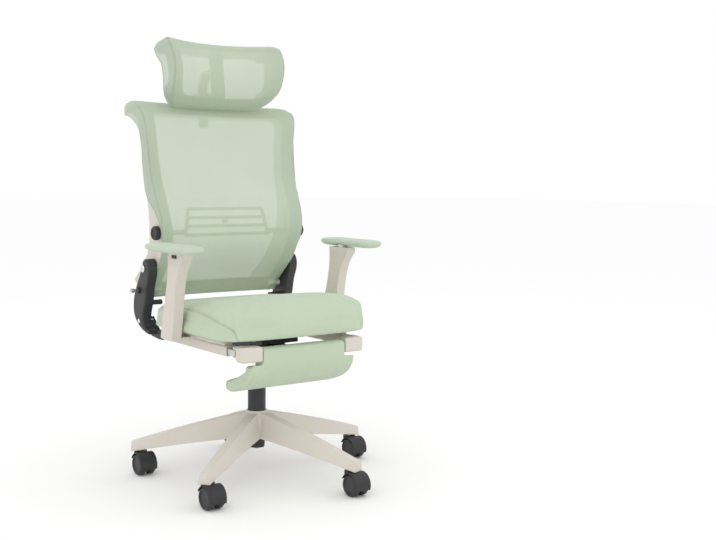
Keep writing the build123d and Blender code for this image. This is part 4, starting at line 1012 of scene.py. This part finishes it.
class CHAIR_OT_headrest_mesh(bpy.types.Operator):
    """Stretch the open mesh over the headrest's ring."""

    bl_idname = "chair.headrest_mesh"
    bl_label = "Headrest mesh"

    def execute(self, context):
        half = half_width(HEAD_SIDE, -0.110, 0.082, 0.062, 0.030)
        built = skin("headrest_cover", ("headrest_mesh",), HEAD_PLACE, HEAD_BOW, HEAD_PROFILE,
                     half, HEAD_EDGE, 84, 64)
        add_sheet("headrest_cover", "headrest_mesh", built, "headrest", 0.42)
        return {"FINISHED"}


# ---- stage ----
CAMERA_AT = Vector((-1.55335, -2.50149, 0.83889))
CAMERA_TURN = (math.radians(-37.299), math.radians(-5.074), math.radians(0.663))
CAMERA_LENS = 53.24


class CHAIR_OT_stage(bpy.types.Operator):
    """Set up the floor, the lamps and the camera."""

    bl_idname = "chair.stage"
    bl_label = "Studio"

    def execute(self, context):
        studio = context.scene.chair_studio
        self.floor(studio)
        self.sky(context.scene, studio)
        self.lamp("key_lamp", (-2.2, -2.6, 3.0), 2.4, studio.key)
        self.lamp("fill_lamp", (2.6, -1.6, 2.0), 2.6, studio.fill)
        self.lamp("rear_lamp", (0.4, 3.0, 2.6), 2.6, studio.fill)
        self.camera(context.scene)
        context.scene.view_settings.view_transform = "Standard"
        return {"FINISHED"}

    def floor(self, studio):
        """A plain floor, white where it is seen, that keeps its shadow."""
        work = bmesh.new()
        bmesh.ops.create_grid(work, x_segments=1, y_segments=1, size=30.0)
        floor = linked("floor", mesh_of("floor", work))
        finish = Finish("floor")
        floor.data.materials.append(finish.shaded({
            "Base Color": finish.mixed(finish.seen(), studio.floor, (1.0, 1.0, 1.0)),
            "Roughness": 0.9,
            "Specular IOR Level": 0.0,
        }))

    def sky(self, scene, studio):
        """Even light all round, white where it is seen."""
        world = bpy.data.worlds.new("studio")
        world.use_nodes = True
        scene.world = world
        finish = Finish("studio", world.node_tree)
        strength = studio.sky + finish.seen() * (1.0 - studio.sky)
        light = finish.node("ShaderNodeBackground", None,
                            {"Color": (1.0, 1.0, 1.0), "Strength": strength})
        finish.node("ShaderNodeOutputWorld", None, {"Surface": light})

    def lamp(self, name, place, size, power):
        """A square lamp that points at the middle of the chair."""
        data = bpy.data.lights.new(name, "AREA")
        data.size = size
        data.energy = power
        lamp = linked(name, data)
        lamp.location = place
        ahead = Vector((0, 0, 0.6)) - Vector(place)
        lamp.rotation_euler = ahead.to_track_quat("-Z", "Y").to_euler()

    def camera(self, scene):
        """The photograph's camera."""
        yaw, pitch, roll = CAMERA_TURN
        ahead = Vector((-math.sin(yaw) * math.cos(pitch), math.cos(yaw) * math.cos(pitch),
                        math.sin(pitch)))
        level = Vector((math.cos(yaw), math.sin(yaw), 0))
        above = level.cross(ahead)
        right = math.cos(roll) * level + math.sin(roll) * above
        up = -math.sin(roll) * level + math.cos(roll) * above
        data = bpy.data.cameras.new("camera")
        data.sensor_width = 36.0
        data.lens = CAMERA_LENS
        data.dof.use_dof = False
        camera = linked("camera", data)
        turn = Matrix((right, up, -ahead)).transposed().to_4x4()
        camera.matrix_world = Matrix.Translation(CAMERA_AT) @ turn
        scene.camera = camera


# ---- sidebar and run ----
GROUPS = {"chair_colours": ChairColours, "chair_sizes": ChairSizes, "chair_studio": ChairStudio}
OPERATORS = (CHAIR_OT_stage, CHAIR_OT_finishes, CHAIR_OT_seat, CHAIR_OT_footrest, CHAIR_OT_brackets,
             CHAIR_OT_bolt_heads, CHAIR_OT_arm_pads, CHAIR_OT_back_mesh, CHAIR_OT_headrest_mesh)


class CHAIR_PT_panel(bpy.types.Panel):
    """Steps and sizes of the chair in the sidebar."""

    bl_idname = "CHAIR_PT_panel"
    bl_label = "Chair"
    bl_space_type = "VIEW_3D"
    bl_region_type = "UI"
    bl_category = "Chair"

    def draw(self, context):
        column = self.layout.column()
        for operator in OPERATORS:
            column.operator(operator.bl_idname)
        for name, group in GROUPS.items():
            for field in group.__annotations__:
                column.prop(getattr(context.scene, name), field)


def register():
    """Register the property groups, the operators and the panel."""
    for name, group in GROUPS.items():
        bpy.utils.register_class(group)
        setattr(bpy.types.Scene, name, PointerProperty(type=group))
    for operator in (*OPERATORS, CHAIR_PT_panel):
        bpy.utils.register_class(operator)


def unregister():
    """Take them away again."""
    for operator in reversed((*OPERATORS, CHAIR_PT_panel)):
        bpy.utils.unregister_class(operator)
    for name, group in GROUPS.items():
        delattr(bpy.types.Scene, name)
        bpy.utils.unregister_class(group)


def main():
    """Build the chair."""
    register()
    for operator in OPERATORS:
        family, step = operator.bl_idname.split(".")
        getattr(getattr(bpy.ops, family), step)()


if __name__ == "__main__":
    main()
